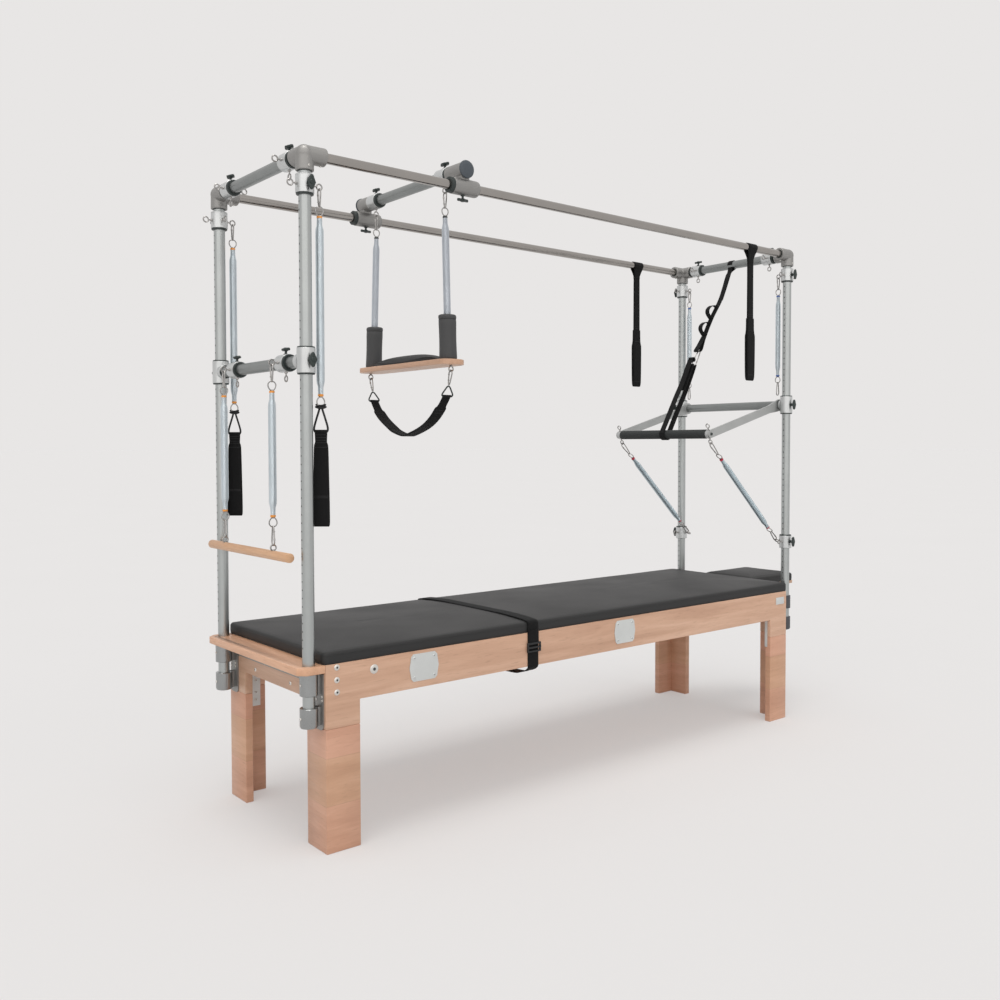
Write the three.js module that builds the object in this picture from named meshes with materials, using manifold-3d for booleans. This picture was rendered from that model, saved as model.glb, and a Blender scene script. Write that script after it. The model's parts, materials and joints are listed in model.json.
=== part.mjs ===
// A pilates trapeze table: a beech bed with a padded top, four posts and a tubular canopy,
// a rolling trapeze, a push-through bar, a roll-up bar and hanging springs.
// Millimetres, +Z up, +X along the bed towards the push-through bar, +Y to the back.
import * as THREE from 'three';
import { mergeVertices } from 'three/addons/utils/BufferGeometryUtils.js';
import Module from 'manifold-3d';

const wasm = await Module();
wasm.setup();

// Clearances
const seatGap = 0.3;
const runningGap = 0.6;
const cutOverrun = 6;
const bury = 1.5;
const mergeDistance = 0.001;

// Facet counts
const facets = {
  tube: 12, coil: 10, knob: 6, wing: 5, eye: 3, hookEye: 4, hoop: 8, fillet: 2, cushionCorner: 3, handle: 1,
};
const cushionSides = { mattress: 5, pads: 3 };

// Beech bed
const bed = {
  halfLength: 1180, halfWidth: 351, top: 585.5, railHeight: 122, board: 27, cornerBottom: 386,
  legAlong: 119, legAcross: 123, deckThickness: 14,
};
const endBoard = { overhang: 86, thickness: 24, chamfer: 22 };

// Upholstery
const mat = { side: 3, edgeHeight: 34, crown: 46, cornerRadius: 26, drawIn: 3 };
const matStrap = { x: -352, width: 50, thickness: 2.5, sag: 17 };
const buckle = { width: 62, height: 44, thickness: 9, drop: 57.5, barSpread: 9, slotHalf: 3.7 };
const pad = {
  board: 15, length: 303, halfWidth: 145, edgeHeight: 28, crown: 39, cornerRadius: 24, drawIn: 3, gap: 5,
};
const runner = { width: 60, height: 28, spread: 80, reach: 300, inset: 24 };

// Tube frame
const post = { standOff: 39, inset: 35, radius: 19, wall: 2.5 };
post.x = bed.halfLength + post.standOff;
post.y = bed.halfWidth - post.inset;
const rail = { z: 2129, radius: 16, wall: 2 };
const corner = { radius: 28, ball: 31, draft: 2, down: 51, along: 66, across: 60, stop: 30 };
const bracket = { plate: 4, innerEdge: 36, edge: 24, fillet: 16, sleeve: 28, web: 24, cupBase: 8 };

const bracketDrops = { bottom: 203.5, top: 29.5, stripLow: 68.5, stripHigh: 52.5 };
const leftSleeveDrops = { cup: 192.5, cupTop: 129.5, sleeve: 91.5 };
leftSleeveDrops.sleeveTop = endBoard.thickness + seatGap * 3;
const rightSleeveDrops = { cup: 184.5, cupTop: 123.5, sleeve: 85.5, sleeveTop: 39.5 };

// Heights from drops below the bed's top
const belowTop = (drops) => Object.fromEntries(
  Object.entries(drops).map(([name, drop]) => [name, bed.top - drop]),
);
const bracketZ = belowTop(bracketDrops);
const sleeveBands = { left: belowTop(leftSleeveDrops), right: belowTop(rightSleeveDrops) };

// Clamp collars, their knobs and eyebolts
const collar = { radius: 28, half: 31, flange: 26, flangeLength: 4 };
const knob = { stem: 5, stemLength: 12, long: 23, short: 8.5, thickness: 9 };
const eye = { reach: 48, radius: 9, wire: 2.5 };
const collarPlace = { belowCorner: 9, lower: 811 };
const collarZ = {
  upper: rail.z - corner.down - collar.half - collarPlace.belowCorner,
  lower: collarPlace.lower,
};

// Collars sit on a cross tube by their gaps to the fitting beside them, front and back
const spaced = (fitting, gaps) => gaps.map((gap, i) => (
  (i === 0 ? -1 : 1) * (post.y - fitting - collar.half - gap)
));
const crossbarGaps = { left: [8, 8], right: [8, 13] };
const crossbarCollars = {
  left: spaced(corner.across, crossbarGaps.left), right: spaced(corner.across, crossbarGaps.right),
};

// Rolling trapeze
const trolley = {
  x: -632, rise: 56, overhang: 21, saddleReach: [72, 47], sleeve: 59, flange: 8, saddle: 27.5,
  cap: 30, capLength: 9, pinch: 17,
};
trolley.halfWidth = post.y + trolley.overhang;
trolley.collars = trolley.saddleReach.map((reach, i) => (
  (i === 0 ? -1 : 1) * (post.y - reach - collar.half)
));
const trapeze = {
  hang: 584, thickness: 19, depth: 100, cornerRadius: 38, endPast: 49, sleeve: 31.5, sleeveHeight: 155,
  bore: 17.5, stud: 6, studHeight: 12, padGap: 4, spread: [16, 24],
};
trapeze.top = rail.z + trolley.rise - eye.reach - trapeze.hang;
trapeze.studs = trolley.collars.map((y, i) => y + Math.sign(y) * trapeze.spread[i]);
trapeze.front = trapeze.studs[0] - trapeze.endPast;
trapeze.back = trapeze.studs[1] + trapeze.endPast;
const trapezePad = { edgeHeight: 17, crown: 34, cornerRadius: 18, drawIn: 3 };
const sling = {
  past: [16, 23], link: 48, linkLean: 13, triangle: 28, triangleHeight: 42, triangleLean: 11, drop: 263,
  width: 46, thickness: 4, leanGap: 0.7,
};
sling.eyes = trapeze.studs.map((y, i) => y + Math.sign(y) * sling.past[i]);
sling.low = trapeze.top - sling.drop;

// Push-through bar, whose clamped sleeves have the form of the sliding crossbar's
const push = {
  z: 1443, sleeveHalf: 42, boss: 24, bossReach: 32, tubeGap: 22, armInset: 40, armThick: 10, armHeight: 34,
  hub: 27, reach: 494, drop: 138, lug: 19, lugLength: 18, pin: 7, pinLength: 20, eyeReach: 36,
};
push.tubeEnd = post.y - push.tubeGap;
push.armY = post.y - push.armInset;
push.eyeY = post.y - eye.reach;
push.lugInner = push.armY - push.lugLength;
push.gripX = post.x - push.reach;
push.gripZ = push.z - push.drop;

// Hanging springs
const link = { half: 8.5, wire: 2.5, flatShare: 0.5 };
const ring = { radius: 15, wire: 2, drop: 73 };
const coil = { tip: 4, taper: 30, shoulderShare: 0.78 };
const coilTop = (eyeZ) => eyeZ - ring.drop - ring.radius;
const legSpring = { length: 542, radius: 13 };
legSpring.bottom = coilTop(collarZ.upper) - legSpring.length;
const armSpring = { length: 375, radius: 10.5, hookDrop: 88 };
armSpring.bottom = coilTop(collarZ.upper) - armSpring.length;
armSpring.hookBottom = armSpring.bottom - armSpring.hookDrop;
const legHandle = { drop: 99, height: 300, width: 50, thickness: 22, rope: 4, yaw: 40 };
legHandle.top = legSpring.bottom - legHandle.drop;
legHandle.bottom = legHandle.top - legHandle.height;

// Sliding crossbar and roll-up bar at the left end
const midBar = { z: 1512, half: 42, collarGaps: [51, 55] };
midBar.socket = push.bossReach + post.radius;
midBar.collars = spaced(midBar.socket, midBar.collarGaps);
const rollBar = { barDrop: 119, radius: 14.5, halfLength: 294, coilLength: 388, coilRadius: 12.5 };
rollBar.coilBottom = coilTop(midBar.z) - rollBar.coilLength;
rollBar.z = rollBar.coilBottom - rollBar.barDrop;
rollBar.centre = (midBar.collars[0] + midBar.collars[1]) / 2;

const grip = { radius: 20, bore: 9 };
const pushCoil = { start: 84, end: 552, radius: 11 };

// Webbing
const safety = { width: 26, thickness: 5, y: 0, gripGap: 2, wrapSteps: 8 };
const strapLoop = {
  frontInset: 269, backInset: 342, waistDrop: 318, length: 271,
  strap: 40, thin: 5, padded: 60, thick: 20, wrap: 3,
};
strapLoop.waist = rail.z - strapLoop.waistDrop;
strapLoop.bottom = strapLoop.waist - strapLoop.length;

// The origin is midway between the two ends of the whole object, on the floor
const reachLeft = post.x + eye.reach + ring.radius + ring.wire;
const reachRight = bed.halfLength + pad.gap + pad.length;
const middleX = (reachRight - reachLeft) / 2;

// Finishes
const finish = {
  beech: [0xc9a184, 0.55, 0], vinyl: [0x4a4b4b, 0.6, 0], webbing: [0x1d1e1f, 0.9, 0],
  satin: [0xb9bdbc, 0.4, 0.8], stainless: [0xa9a49d, 0.25, 0.9], cast: [0x7e8182, 0.5, 0.6],
  coil: [0x93a4aa, 0.3, 0.9],
  foam: [0x2f3233, 0.85, 0], plastic: [0x1b1c1d, 0.6, 0],
};
const model = new THREE.Group();
const v = (x, y, z) => new THREE.Vector3(x, y, z);
const axisX = v(1, 0, 0);
const axisY = v(0, 1, 0);
const axisZ = v(0, 0, 1);
const sides = [['front', -1], ['back', 1]];
const ends = [['left', -1], ['right', 1]];

// Geometry helpers
function asSolid(geometry) {
  const bare = new THREE.BufferGeometry();
  bare.setAttribute('position', geometry.getAttribute('position').clone());
  if (geometry.index) bare.setIndex(geometry.index);
  const merged = mergeVertices(bare, mergeDistance);
  const kept = [];
  const index = merged.index.array;
  for (let i = 0; i < index.length; i += 3) {
    const [a, b, c] = [index[i], index[i + 1], index[i + 2]];
    if (a !== b && b !== c && c !== a) kept.push(a, b, c);
  }
  return new wasm.Manifold(new wasm.Mesh({
    numProp: 3,
    vertProperties: new Float32Array(merged.attributes.position.array),
    triVerts: new Uint32Array(kept),
  }));
}

function asGeometry(solid) {
  const mesh = solid.getMesh();
  const geometry = new THREE.BufferGeometry();
  geometry.setAttribute('position', new THREE.BufferAttribute(new Float32Array(mesh.vertProperties), 3));
  geometry.setIndex(new THREE.BufferAttribute(new Uint32Array(mesh.triVerts), 1));
  return geometry;
}

const join = (solids) => solids.reduce((sum, solid) => sum.add(solid));

function addPart(name, solid, [color, roughness, metalness]) {
  const geometry = asGeometry(solid);
  geometry.computeVertexNormals();
  const mesh = new THREE.Mesh(geometry, new THREE.MeshStandardMaterial({ color, roughness, metalness }));
  mesh.name = name;
  model.add(mesh);
}

// Turns a profile of [radius, height] pairs about the line from one point towards another
function turned(profile, from, towards, segments) {
  const points = profile.map(([radius, height]) => new THREE.Vector2(radius, height));
  const geometry = new THREE.LatheGeometry(points, segments);
  const direction = towards.clone().sub(from).normalize();
  geometry.applyQuaternion(new THREE.Quaternion().setFromUnitVectors(axisY, direction));
  geometry.translate(from.x, from.y, from.z);
  return asSolid(geometry);
}

function rod(from, to, radius, segments = facets.tube) {
  const length = from.distanceTo(to);
  return turned([[0, 0], [radius, 0], [radius, length], [0, length]], from, to, segments);
}

function tube(from, to, outer, inner, segments = facets.tube) {
  const length = from.distanceTo(to);
  const wall = [[inner, 0], [outer, 0], [outer, length], [inner, length], [inner, 0]];
  return turned(wall, from, to, segments);
}

function box(low, high) {
  const size = high.clone().sub(low);
  const geometry = new THREE.BoxGeometry(size.x, size.y, size.z);
  const middle = low.clone().add(high).multiplyScalar(1 / 2);
  return asSolid(geometry.translate(middle.x, middle.y, middle.z));
}

function shapeOf(points) {
  return new THREE.Shape(points.map(([a, b]) => new THREE.Vector2(a, b)));
}

// Extrusions of an outline drawn in the plane square to the named axis
function extruded(shape, depth, curveSegments) {
  return new THREE.ExtrudeGeometry(shape, { depth, bevelEnabled: false, curveSegments });
}

function alongX(shape, low, high, curveSegments = facets.tube) {
  const geometry = extruded(shape, high - low, curveSegments);
  geometry.applyMatrix4(new THREE.Matrix4().makeBasis(axisY, axisZ, axisX));
  return asSolid(geometry.translate(low, 0, 0));
}

function alongY(shape, low, high, curveSegments = facets.tube) {
  const geometry = extruded(shape, high - low, curveSegments);
  return asSolid(geometry.rotateX(Math.PI / 2).translate(0, high, 0));
}

function alongZ(shape, low, high, curveSegments = facets.tube) {
  const geometry = extruded(shape, high - low, curveSegments);
  return asSolid(geometry.translate(0, 0, low));
}

// A closed hoop of wire round a centre, in the plane square to the normal
function hoop(centre, normal, radius, wire, segments = facets.eye) {
  const geometry = new THREE.TorusGeometry(radius, wire, segments, facets.hoop);
  geometry.applyQuaternion(new THREE.Quaternion().setFromUnitVectors(axisZ, normal));
  return asSolid(geometry.translate(centre.x, centre.y, centre.z));
}

// A four-sided section carried along a row of places, either round again to the first or capped at both ends
function sweep(sections, closed) {
  const position = sections.flat().flatMap((corner) => corner.toArray());
  const index = [];
  const count = sections.length;
  for (let i = 0; i < (closed ? count : count - 1); i += 1) {
    for (let side = 0; side < 4; side += 1) {
      const [a, b] = [i * 4 + side, i * 4 + (side + 1) % 4];
      const [c, d] = [(a + 4) % (count * 4), (b + 4) % (count * 4)];
      index.push(a, b, d, a, d, c);
    }
  }
  const last = (count - 1) * 4;
  if (!closed) index.push(0, 2, 1, 0, 3, 2, last, last + 1, last + 2, last, last + 2, last + 3);
  const geometry = new THREE.BufferGeometry();
  geometry.setAttribute('position', new THREE.BufferAttribute(new Float32Array(position), 3));
  geometry.setIndex(index);
  const solid = asSolid(geometry);
  return solid.volume() > 0 ? solid : asSolid(geometry.setIndex(index.reverse()));
}

// A closed loop of wire through a ring of points, flat in the plane square to the normal
function closedWire(points, normal, wire) {
  const sections = points.map((point, i) => {
    const before = points[(i + points.length - 1) % points.length];
    const after = points[(i + 1) % points.length];
    const out = after.clone().sub(before).normalize().cross(normal);
    return [[out, wire], [normal, wire], [out, -wire], [normal, -wire]]
      .map(([way, reach]) => point.clone().addScaledVector(way, reach));
  });
  return sweep(sections, true);
}

// A spring link of wire whose two ends reach the two points, flat in the plane square to the normal
function wireLink(from, to, normal) {
  const along = to.clone().sub(from);
  const length = along.length();
  along.normalize();
  const out = along.clone().cross(normal);
  const { half, wire, flatShare } = link;
  const flat = half * flatShare;
  const corners = [
    [flat, 0], [half, half - flat], [half, length - half + flat], [flat, length],
    [-flat, length], [-half, length - half + flat], [-half, half - flat], [-flat, 0],
  ];
  const place = ([side, distance]) => from.clone()
    .addScaledVector(out, side)
    .addScaledVector(along, distance);
  return closedWire(corners.map(place), normal, wire);
}

// Flat webbing along a row of points, its width along the given axis
function webbing(points, width, thickness, across) {
  const reach = across.clone().multiplyScalar(width / 2);
  const sections = points.map((point, i) => {
    const before = points[Math.max(i - 1, 0)];
    const after = points[Math.min(i + 1, points.length - 1)];
    const heading = after.clone().sub(before).normalize();
    const lift = across.clone().cross(heading).normalize().multiplyScalar(thickness / 2);
    return [[-1, -1], [1, -1], [1, 1], [-1, 1]]
      .map(([side, up]) => point.clone().addScaledVector(reach, side).addScaledVector(lift, up));
  });
  return sweep(sections, false);
}

// A cushion: rounded corners, sides drawn in between them, and a crown that rises to the middle line
function cushion(low, high, base, form, sideSteps) {
  const half = v((high.x - low.x) / 2, (high.y - low.y) / 2, 0);
  const centre = v((high.x + low.x) / 2, (high.y + low.y) / 2, base);
  const outline = [];
  const corners = [[1, 1, 0], [-1, 1, 1], [-1, -1, 2], [1, -1, 3]];
  corners.forEach(([sx, sy, quarter], i) => {
    const cx = sx * (half.x - form.cornerRadius);
    const cy = sy * (half.y - form.cornerRadius);
    for (let step = 0; step <= facets.cushionCorner; step += 1) {
      const angle = (quarter + step / facets.cushionCorner) * Math.PI / 2;
      outline.push([cx + form.cornerRadius * Math.cos(angle), cy + form.cornerRadius * Math.sin(angle), 0]);
    }
    const [nx, ny] = corners[(i + 1) % 4];
    const from = outline[outline.length - 1];
    const next = (quarter + 1) * Math.PI / 2;
    const to = [
      nx * (half.x - form.cornerRadius) + form.cornerRadius * Math.cos(next),
      ny * (half.y - form.cornerRadius) + form.cornerRadius * Math.sin(next),
    ];
    for (let step = 1; step < sideSteps; step += 1) {
      const share = step / sideSteps;
      const pull = form.drawIn * (1 - (2 * share - 1) ** 2);
      const x = from[0] + (to[0] - from[0]) * share - pull * Math.cos(next);
      const y = from[1] + (to[1] - from[1]) * share - pull * Math.sin(next);
      outline.push([x, y, 1]);
    }
  });
  // each row: share of the way in from the edge to the middle line, and height share
  const insetShares = [0.022, 0, 0, 0.012, 0.04, 0.16, 0.42, 0.8];
  const heightShares = [0, 0.2, 0.66, 0.9, 1, 1, 1, 1];
  const crownShares = [0, 0, 0, 0, 0, 0.45, 0.85, 1];
  const spine = Math.max(half.x - half.y, 0);
  const position = [];
  insetShares.forEach((inset, row) => {
    for (const [x, y] of outline) {
      const toX = Math.max(-spine, Math.min(spine, x));
      position.push(centre.x + x + (toX - x) * inset, centre.y + y - y * inset);
      const rise = (form.crown - form.edgeHeight) * crownShares[row];
      position.push(base + form.edgeHeight * heightShares[row] + rise);
    }
  });
  const count = outline.length;
  const index = [];
  for (let row = 0; row < insetShares.length - 1; row += 1) {
    for (let i = 0; i < count; i += 1) {
      const [a, b] = [row * count + i, row * count + (i + 1) % count];
      index.push(a, b, b + count, a, b + count, a + count);
    }
  }
  const bottom = outline.map((unused, i) => new THREE.Vector2(position[i * 3], position[i * 3 + 1]));
  const first = (insetShares.length - 1) * count;
  const top = outline.map((unused, i) => {
    const at = (first + i) * 3;
    return new THREE.Vector2(position[at], position[at + 1]);
  });
  for (const [a, b, c] of THREE.ShapeUtils.triangulateShape(bottom, [])) index.push(a, c, b);
  for (const face of THREE.ShapeUtils.triangulateShape(top, [])) {
    index.push(...face.map((corner) => first + corner));
  }
  const geometry = new THREE.BufferGeometry();
  geometry.setAttribute('position', new THREE.BufferAttribute(new Float32Array(position), 3));
  geometry.setIndex(index);
  return asSolid(geometry);
}

// Hardware helpers
function wingKnob(surface, way, along) {
  const base = surface.clone().addScaledVector(way, -bury);
  const seat = surface.clone().addScaledVector(way, knob.stemLength);
  const outline = new THREE.Shape();
  outline.absellipse(0, 0, knob.long, knob.short, 0, Math.PI * 2);
  const wing = extruded(outline, knob.thickness, facets.wing);
  wing.applyMatrix4(new THREE.Matrix4().makeBasis(along, way.clone().cross(along), way));
  wing.translate(seat.x, seat.y, seat.z);
  return rod(base, seat.clone().addScaledVector(way, bury), knob.stem, facets.knob).add(asSolid(wing));
}

// An eyebolt screwed into the wall of a tube or collar, its eye flat in the plane square to the normal
function eyebolt(axisPoint, way, normal, surface, reach = eye.reach, segments = facets.eye) {
  const from = axisPoint.clone().addScaledVector(way, surface - bury);
  const to = axisPoint.clone().addScaledVector(way, reach - eye.radius);
  const centre = axisPoint.clone().addScaledVector(way, reach);
  return rod(from, to, eye.wire, facets.eye).add(hoop(centre, normal, eye.radius, eye.wire, segments));
}

// A clamp collar on a tube: bushed at both ends, with one knob and its eyebolts
function clampCollar(centre, along, knobWay, eyes, bore) {
  const { radius, half, flange, flangeLength } = collar;
  const profile = [
    [bore, 0], [flange, 0], [radius, flangeLength], [radius, 2 * half - flangeLength], [flange, 2 * half],
    [bore, 2 * half], [bore, 0],
  ];
  const start = centre.clone().addScaledVector(along, -half);
  const pieces = [turned(profile, start, centre, facets.tube)];
  if (knobWay) pieces.push(wingKnob(centre.clone().addScaledVector(knobWay, radius), knobWay, along));
  for (const [way, normal, segments] of eyes) {
    pieces.push(eyebolt(centre, way, normal, radius, eye.reach, segments));
  }
  return join(pieces);
}

// The way a hanging spring's coil narrows at both ends
function coilBody(from, to, radius) {
  const length = from.distanceTo(to);
  const { tip, taper, shoulderShare } = coil;
  const profile = [
    [0, 0], [tip, 0], [radius * shoulderShare, taper / 2], [radius, taper],
    [radius, length - taper], [radius * shoulderShare, length - taper / 2], [tip, length], [0, length],
  ];
  return turned(profile, from, to, facets.coil);
}

// How far an eye's wire stands in towards the middle of the eye, and where a link's end wire lies in it
const eyeSeat = eye.wire * Math.cos(Math.PI / facets.eye);
const hangGrab = eyeSeat + link.wire + seatGap;
// A hook that turns in the plane of its own wire hangs clear of the corners of the eye's wire
const hookGrab = eye.wire + link.wire + seatGap;

// A spring link, its ring and its coil, hung from an eyebolt whose eye has its middle at the height given
function hungSpring(x, y, eyeZ, bottom, radius, linkNormal, { grab = hangGrab, lean = 0 } = {}) {
  const linkTop = eyeZ - eye.radius + grab;
  const ringZ = eyeZ - ring.drop;
  const ringNormal = linkNormal === axisX ? axisY : axisX;
  return join([
    wireLink(v(x, y, linkTop), v(x, y, ringZ + ring.radius), linkNormal),
    hoop(v(x, y, ringZ), ringNormal, ring.radius, ring.wire),
    coilBody(v(x, y + lean, bottom), v(x, y, ringZ - ring.radius), radius),
  ]);
}

// Leans an upright solid over in Y by a slope, about the height given
function leaned(solid, slope, height) {
  const shear = new THREE.Matrix4().set(1, 0, 0, 0, 0, 1, slope, -slope * height, 0, 0, 1, 0, 0, 0, 0, 1);
  return solid.transform(shear.toArray());
}

// The ring under a coil, and where its lowest wire runs
function lowerRing(x, y, bottom, normal) {
  const middle = bottom - seatGap - ring.wire - ring.radius;
  return { solid: hoop(v(x, y, middle), normal, ring.radius, ring.wire), wireZ: middle - ring.radius };
}

// Bed
const railLow = bed.top - bed.railHeight;

function rimOutline(halfLength, foot) {
  return shapeOf([
    [-halfLength, bed.cornerBottom], [foot - halfLength, bed.cornerBottom], [foot - halfLength, railLow],
    [halfLength - foot, railLow], [halfLength - foot, bed.cornerBottom], [halfLength, bed.cornerBottom],
    [halfLength, bed.top], [-halfLength, bed.top],
  ]);
}

function makeBed() {
  const inner = bed.halfWidth - bed.board;
  for (const [name, side] of sides) {
    const edges = [side * inner, side * bed.halfWidth].sort((a, b) => a - b);
    addPart(`side_rail_${name}`, alongY(rimOutline(bed.halfLength, bed.legAlong), ...edges), finish.beech);
  }
  const endHalf = inner - seatGap;
  const endInner = bed.halfLength - bed.board;
  const deckLow = bed.top - bed.deckThickness;
  for (const [name, side] of ends) {
    const edges = [side * endInner, side * bed.halfLength].sort((a, b) => a - b);
    let endRail = alongX(rimOutline(endHalf, bed.legAcross - bed.board), ...edges);
    if (name === 'right') {
      for (const way of [-1, 1]) {
        const half = runner.width / 2 + runningGap;
        const low = deckLow - runner.height - runningGap * 2;
        endRail = endRail.subtract(box(
          v(endInner - cutOverrun, way * runner.spread - half, low),
          v(bed.halfLength + cutOverrun, way * runner.spread + half, deckLow),
        ));
      }
    }
    addPart(`end_rail_${name}`, endRail, finish.beech);
  }
  const deckReach = v(endInner - seatGap, inner - seatGap, 0);
  addPart('deck_panel', box(
    v(-deckReach.x, -deckReach.y, deckLow), v(deckReach.x, deckReach.y, bed.top),
  ), finish.beech);
  for (const [endName, sx] of ends) {
    for (const [sideName, sy] of sides) {
      const along = [bed.halfLength, bed.halfLength - bed.board, bed.halfLength - bed.legAlong];
      const across = [bed.halfWidth, bed.halfWidth - bed.board, bed.halfWidth - bed.legAcross];
      const outline = [
        [along[0], across[0]], [along[2], across[0]], [along[2], across[1]], [along[1], across[1]],
        [along[1], across[2]], [along[0], across[2]],
      ];
      const leg = alongZ(shapeOf(outline.map(([x, y]) => [sx * x, sy * y])), 0, bed.cornerBottom - seatGap);
      addPart(`leg_${sideName}_${endName}`, leg, finish.beech);
    }
  }
}

function makeEndBoard() {
  const innerX = -bed.halfLength - seatGap;
  const outerX = -bed.halfLength - endBoard.overhang;
  const { halfWidth } = bed;
  const { chamfer, thickness } = endBoard;
  const shape = shapeOf([
    [innerX, -halfWidth], [innerX, halfWidth], [outerX + chamfer, halfWidth], [outerX, halfWidth - chamfer],
    [outerX, chamfer - halfWidth], [outerX + chamfer, -halfWidth],
  ]);
  for (const [, sy] of sides) {
    const hole = new THREE.Path();
    hole.absarc(-post.x, sy * post.y, post.radius + runningGap, 0, Math.PI * 2);
    shape.holes.push(hole);
  }
  addPart('end_board_left', alongZ(shape, bed.top - thickness, bed.top), finish.beech);
}

// Upholstery
const matTop = bed.top + seatGap + mat.crown;

function makeMattress() {
  const low = v(mat.side - bed.halfLength, mat.side - bed.halfWidth, 0);
  const soft = cushion(low, low.clone().negate(), bed.top + seatGap, mat, cushionSides.mattress);
  addPart('mattress', soft, finish.vinyl);
}

function makeMatStrap() {
  const outY = bed.halfWidth + seatGap;
  const edge = bed.top + seatGap + mat.edgeHeight;
  const bottom = railLow - matStrap.sag;
  const shoulderShare = 0.95;
  const crownShare = 0.55;
  const rows = [
    [outY, bottom], [outY, edge - mat.edgeHeight / 3], [outY * shoulderShare, edge + bury * 2],
    [outY * crownShare, matTop + seatGap], [0, matTop + seatGap],
  ];
  const mirrored = rows.slice(0, -1).reverse().map(([y, z]) => [-y, z]);
  const innerLine = [...rows, ...mirrored];
  const t = matStrap.thickness;
  const outerLine = innerLine.map(([y, z]) => [y + Math.sign(y) * t, z === bottom ? z - t : z + t]);
  const shape = shapeOf(outerLine);
  shape.holes.push(new THREE.Path(innerLine.map(([y, z]) => new THREE.Vector2(y, z))));
  const edges = [matStrap.x - matStrap.width / 2, matStrap.x + matStrap.width / 2];
  addPart('mat_strap', alongX(shape, ...edges), finish.webbing);
  const face = -(outY + t + seatGap);
  const middle = bed.top - buckle.drop;
  const frame = box(
    v(matStrap.x - buckle.width / 2, face - buckle.thickness, middle - buckle.height / 2),
    v(matStrap.x + buckle.width / 2, face, middle + buckle.height / 2),
  );
  const slots = [-1, 1].map((way) => {
    const slotZ = middle + way * buckle.barSpread;
    return box(
      v(matStrap.x - matStrap.width / 2, face - buckle.thickness - cutOverrun, slotZ - buckle.slotHalf),
      v(matStrap.x + matStrap.width / 2, face + cutOverrun, slotZ + buckle.slotHalf),
    );
  });
  addPart('mat_strap_buckle', frame.subtract(join(slots)), finish.plastic);
}

function makeEndPad() {
  const low = bed.halfLength + pad.gap;
  const high = low + pad.length;
  const boardLow = bed.top - pad.board;
  const runnerTop = bed.top - bed.deckThickness - runningGap;
  const board = box(v(low, -pad.halfWidth, boardLow), v(high, pad.halfWidth, bed.top));
  const runners = [-1, 1].map((way) => box(
    v(bed.halfLength - runner.reach, way * runner.spread - runner.width / 2, runnerTop - runner.height),
    v(high - runner.inset, way * runner.spread + runner.width / 2, runnerTop),
  ));
  const blocks = [-1, 1].map((way) => box(
    v(low, way * runner.spread - runner.width / 2, runnerTop - bury),
    v(high - runner.inset, way * runner.spread + runner.width / 2, boardLow + bury),
  ));
  addPart('end_pad_board', join([board, ...blocks, ...runners]), finish.beech);
  const cushionLow = v(low, -pad.halfWidth, 0);
  const cushionHigh = v(high, pad.halfWidth, 0);
  const soft = cushion(cushionLow, cushionHigh, bed.top + seatGap, pad, cushionSides.pads);
  addPart('end_pad', soft, finish.vinyl);
}

// Brackets that hold the posts to the bed
function bracketOutline() {
  const outer = post.y + bracket.edge;
  const inner = post.y - bracket.innerEdge;
  const { fillet } = bracket;
  const { bottom, top, stripLow, stripHigh } = bracketZ;
  const shape = new THREE.Shape();
  shape.moveTo(-outer, top);
  shape.lineTo(-outer, bottom + fillet);
  shape.absarc(fillet - outer, bottom + fillet, fillet, Math.PI, Math.PI * 3 / 2, false);
  shape.lineTo(-inner - fillet, bottom);
  shape.absarc(-inner - fillet, bottom + fillet, fillet, -Math.PI / 2, 0, false);
  shape.lineTo(-inner, stripLow);
  shape.lineTo(inner, stripLow);
  shape.lineTo(inner, bottom + fillet);
  shape.absarc(inner + fillet, bottom + fillet, fillet, Math.PI, Math.PI * 3 / 2, false);
  shape.lineTo(outer - fillet, bottom);
  shape.absarc(outer - fillet, bottom + fillet, fillet, -Math.PI / 2, 0, false);
  shape.lineTo(outer, top);
  shape.lineTo(inner, top);
  shape.lineTo(inner, stripHigh);
  shape.lineTo(-inner, stripHigh);
  shape.lineTo(-inner, top);
  return shape;
}

function makeBrackets() {
  const bore = post.radius + seatGap;
  for (const [name, side] of ends) {
    const bands = sleeveBands[name];
    const near = side * (bed.halfLength + seatGap);
    const far = side * (bed.halfLength + seatGap + bracket.plate);
    const pieces = [alongX(bracketOutline(), Math.min(near, far), Math.max(near, far), facets.fillet)];
    for (const [, sy] of sides) {
      const x = side * post.x;
      const y = sy * post.y;
      const cupLength = bands.cupTop - bands.cup;
      const lip = bracket.cupBase;
      const cup = turned([
        [0, 0], [bracket.sleeve - lip, 0], [bracket.sleeve, lip], [bracket.sleeve, cupLength],
        [bore, cupLength], [bore, lip], [0, lip],
      ], v(x, y, bands.cup), v(x, y, bands.cupTop), facets.tube);
      const sleeve = tube(v(x, y, bands.sleeve), v(x, y, bands.sleeveTop), bracket.sleeve, bore);
      const webX = [far - side * bury, side * (post.x - bore - bury)].sort((a, b) => a - b);
      const passage = rod(v(x, y, bands.cup + lip), v(x, y, bands.sleeveTop + cutOverrun), bore);
      for (const [low, high] of [[bands.cup + lip, bands.cupTop], [bands.sleeve, bracketZ.top]]) {
        const web = box(v(webX[0], y - bracket.web / 2, low), v(webX[1], y + bracket.web / 2, high));
        pieces.push(web.subtract(passage));
      }
      pieces.push(cup, sleeve);
    }
    addPart(`end_bracket_${name}`, join(pieces), finish.cast);
  }
}

// A faceted bore in which a faceted tube can turn clears the tube's corners at the middles of its flats
const roundUpFacets = 1 / Math.cos(Math.PI / facets.tube);

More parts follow.
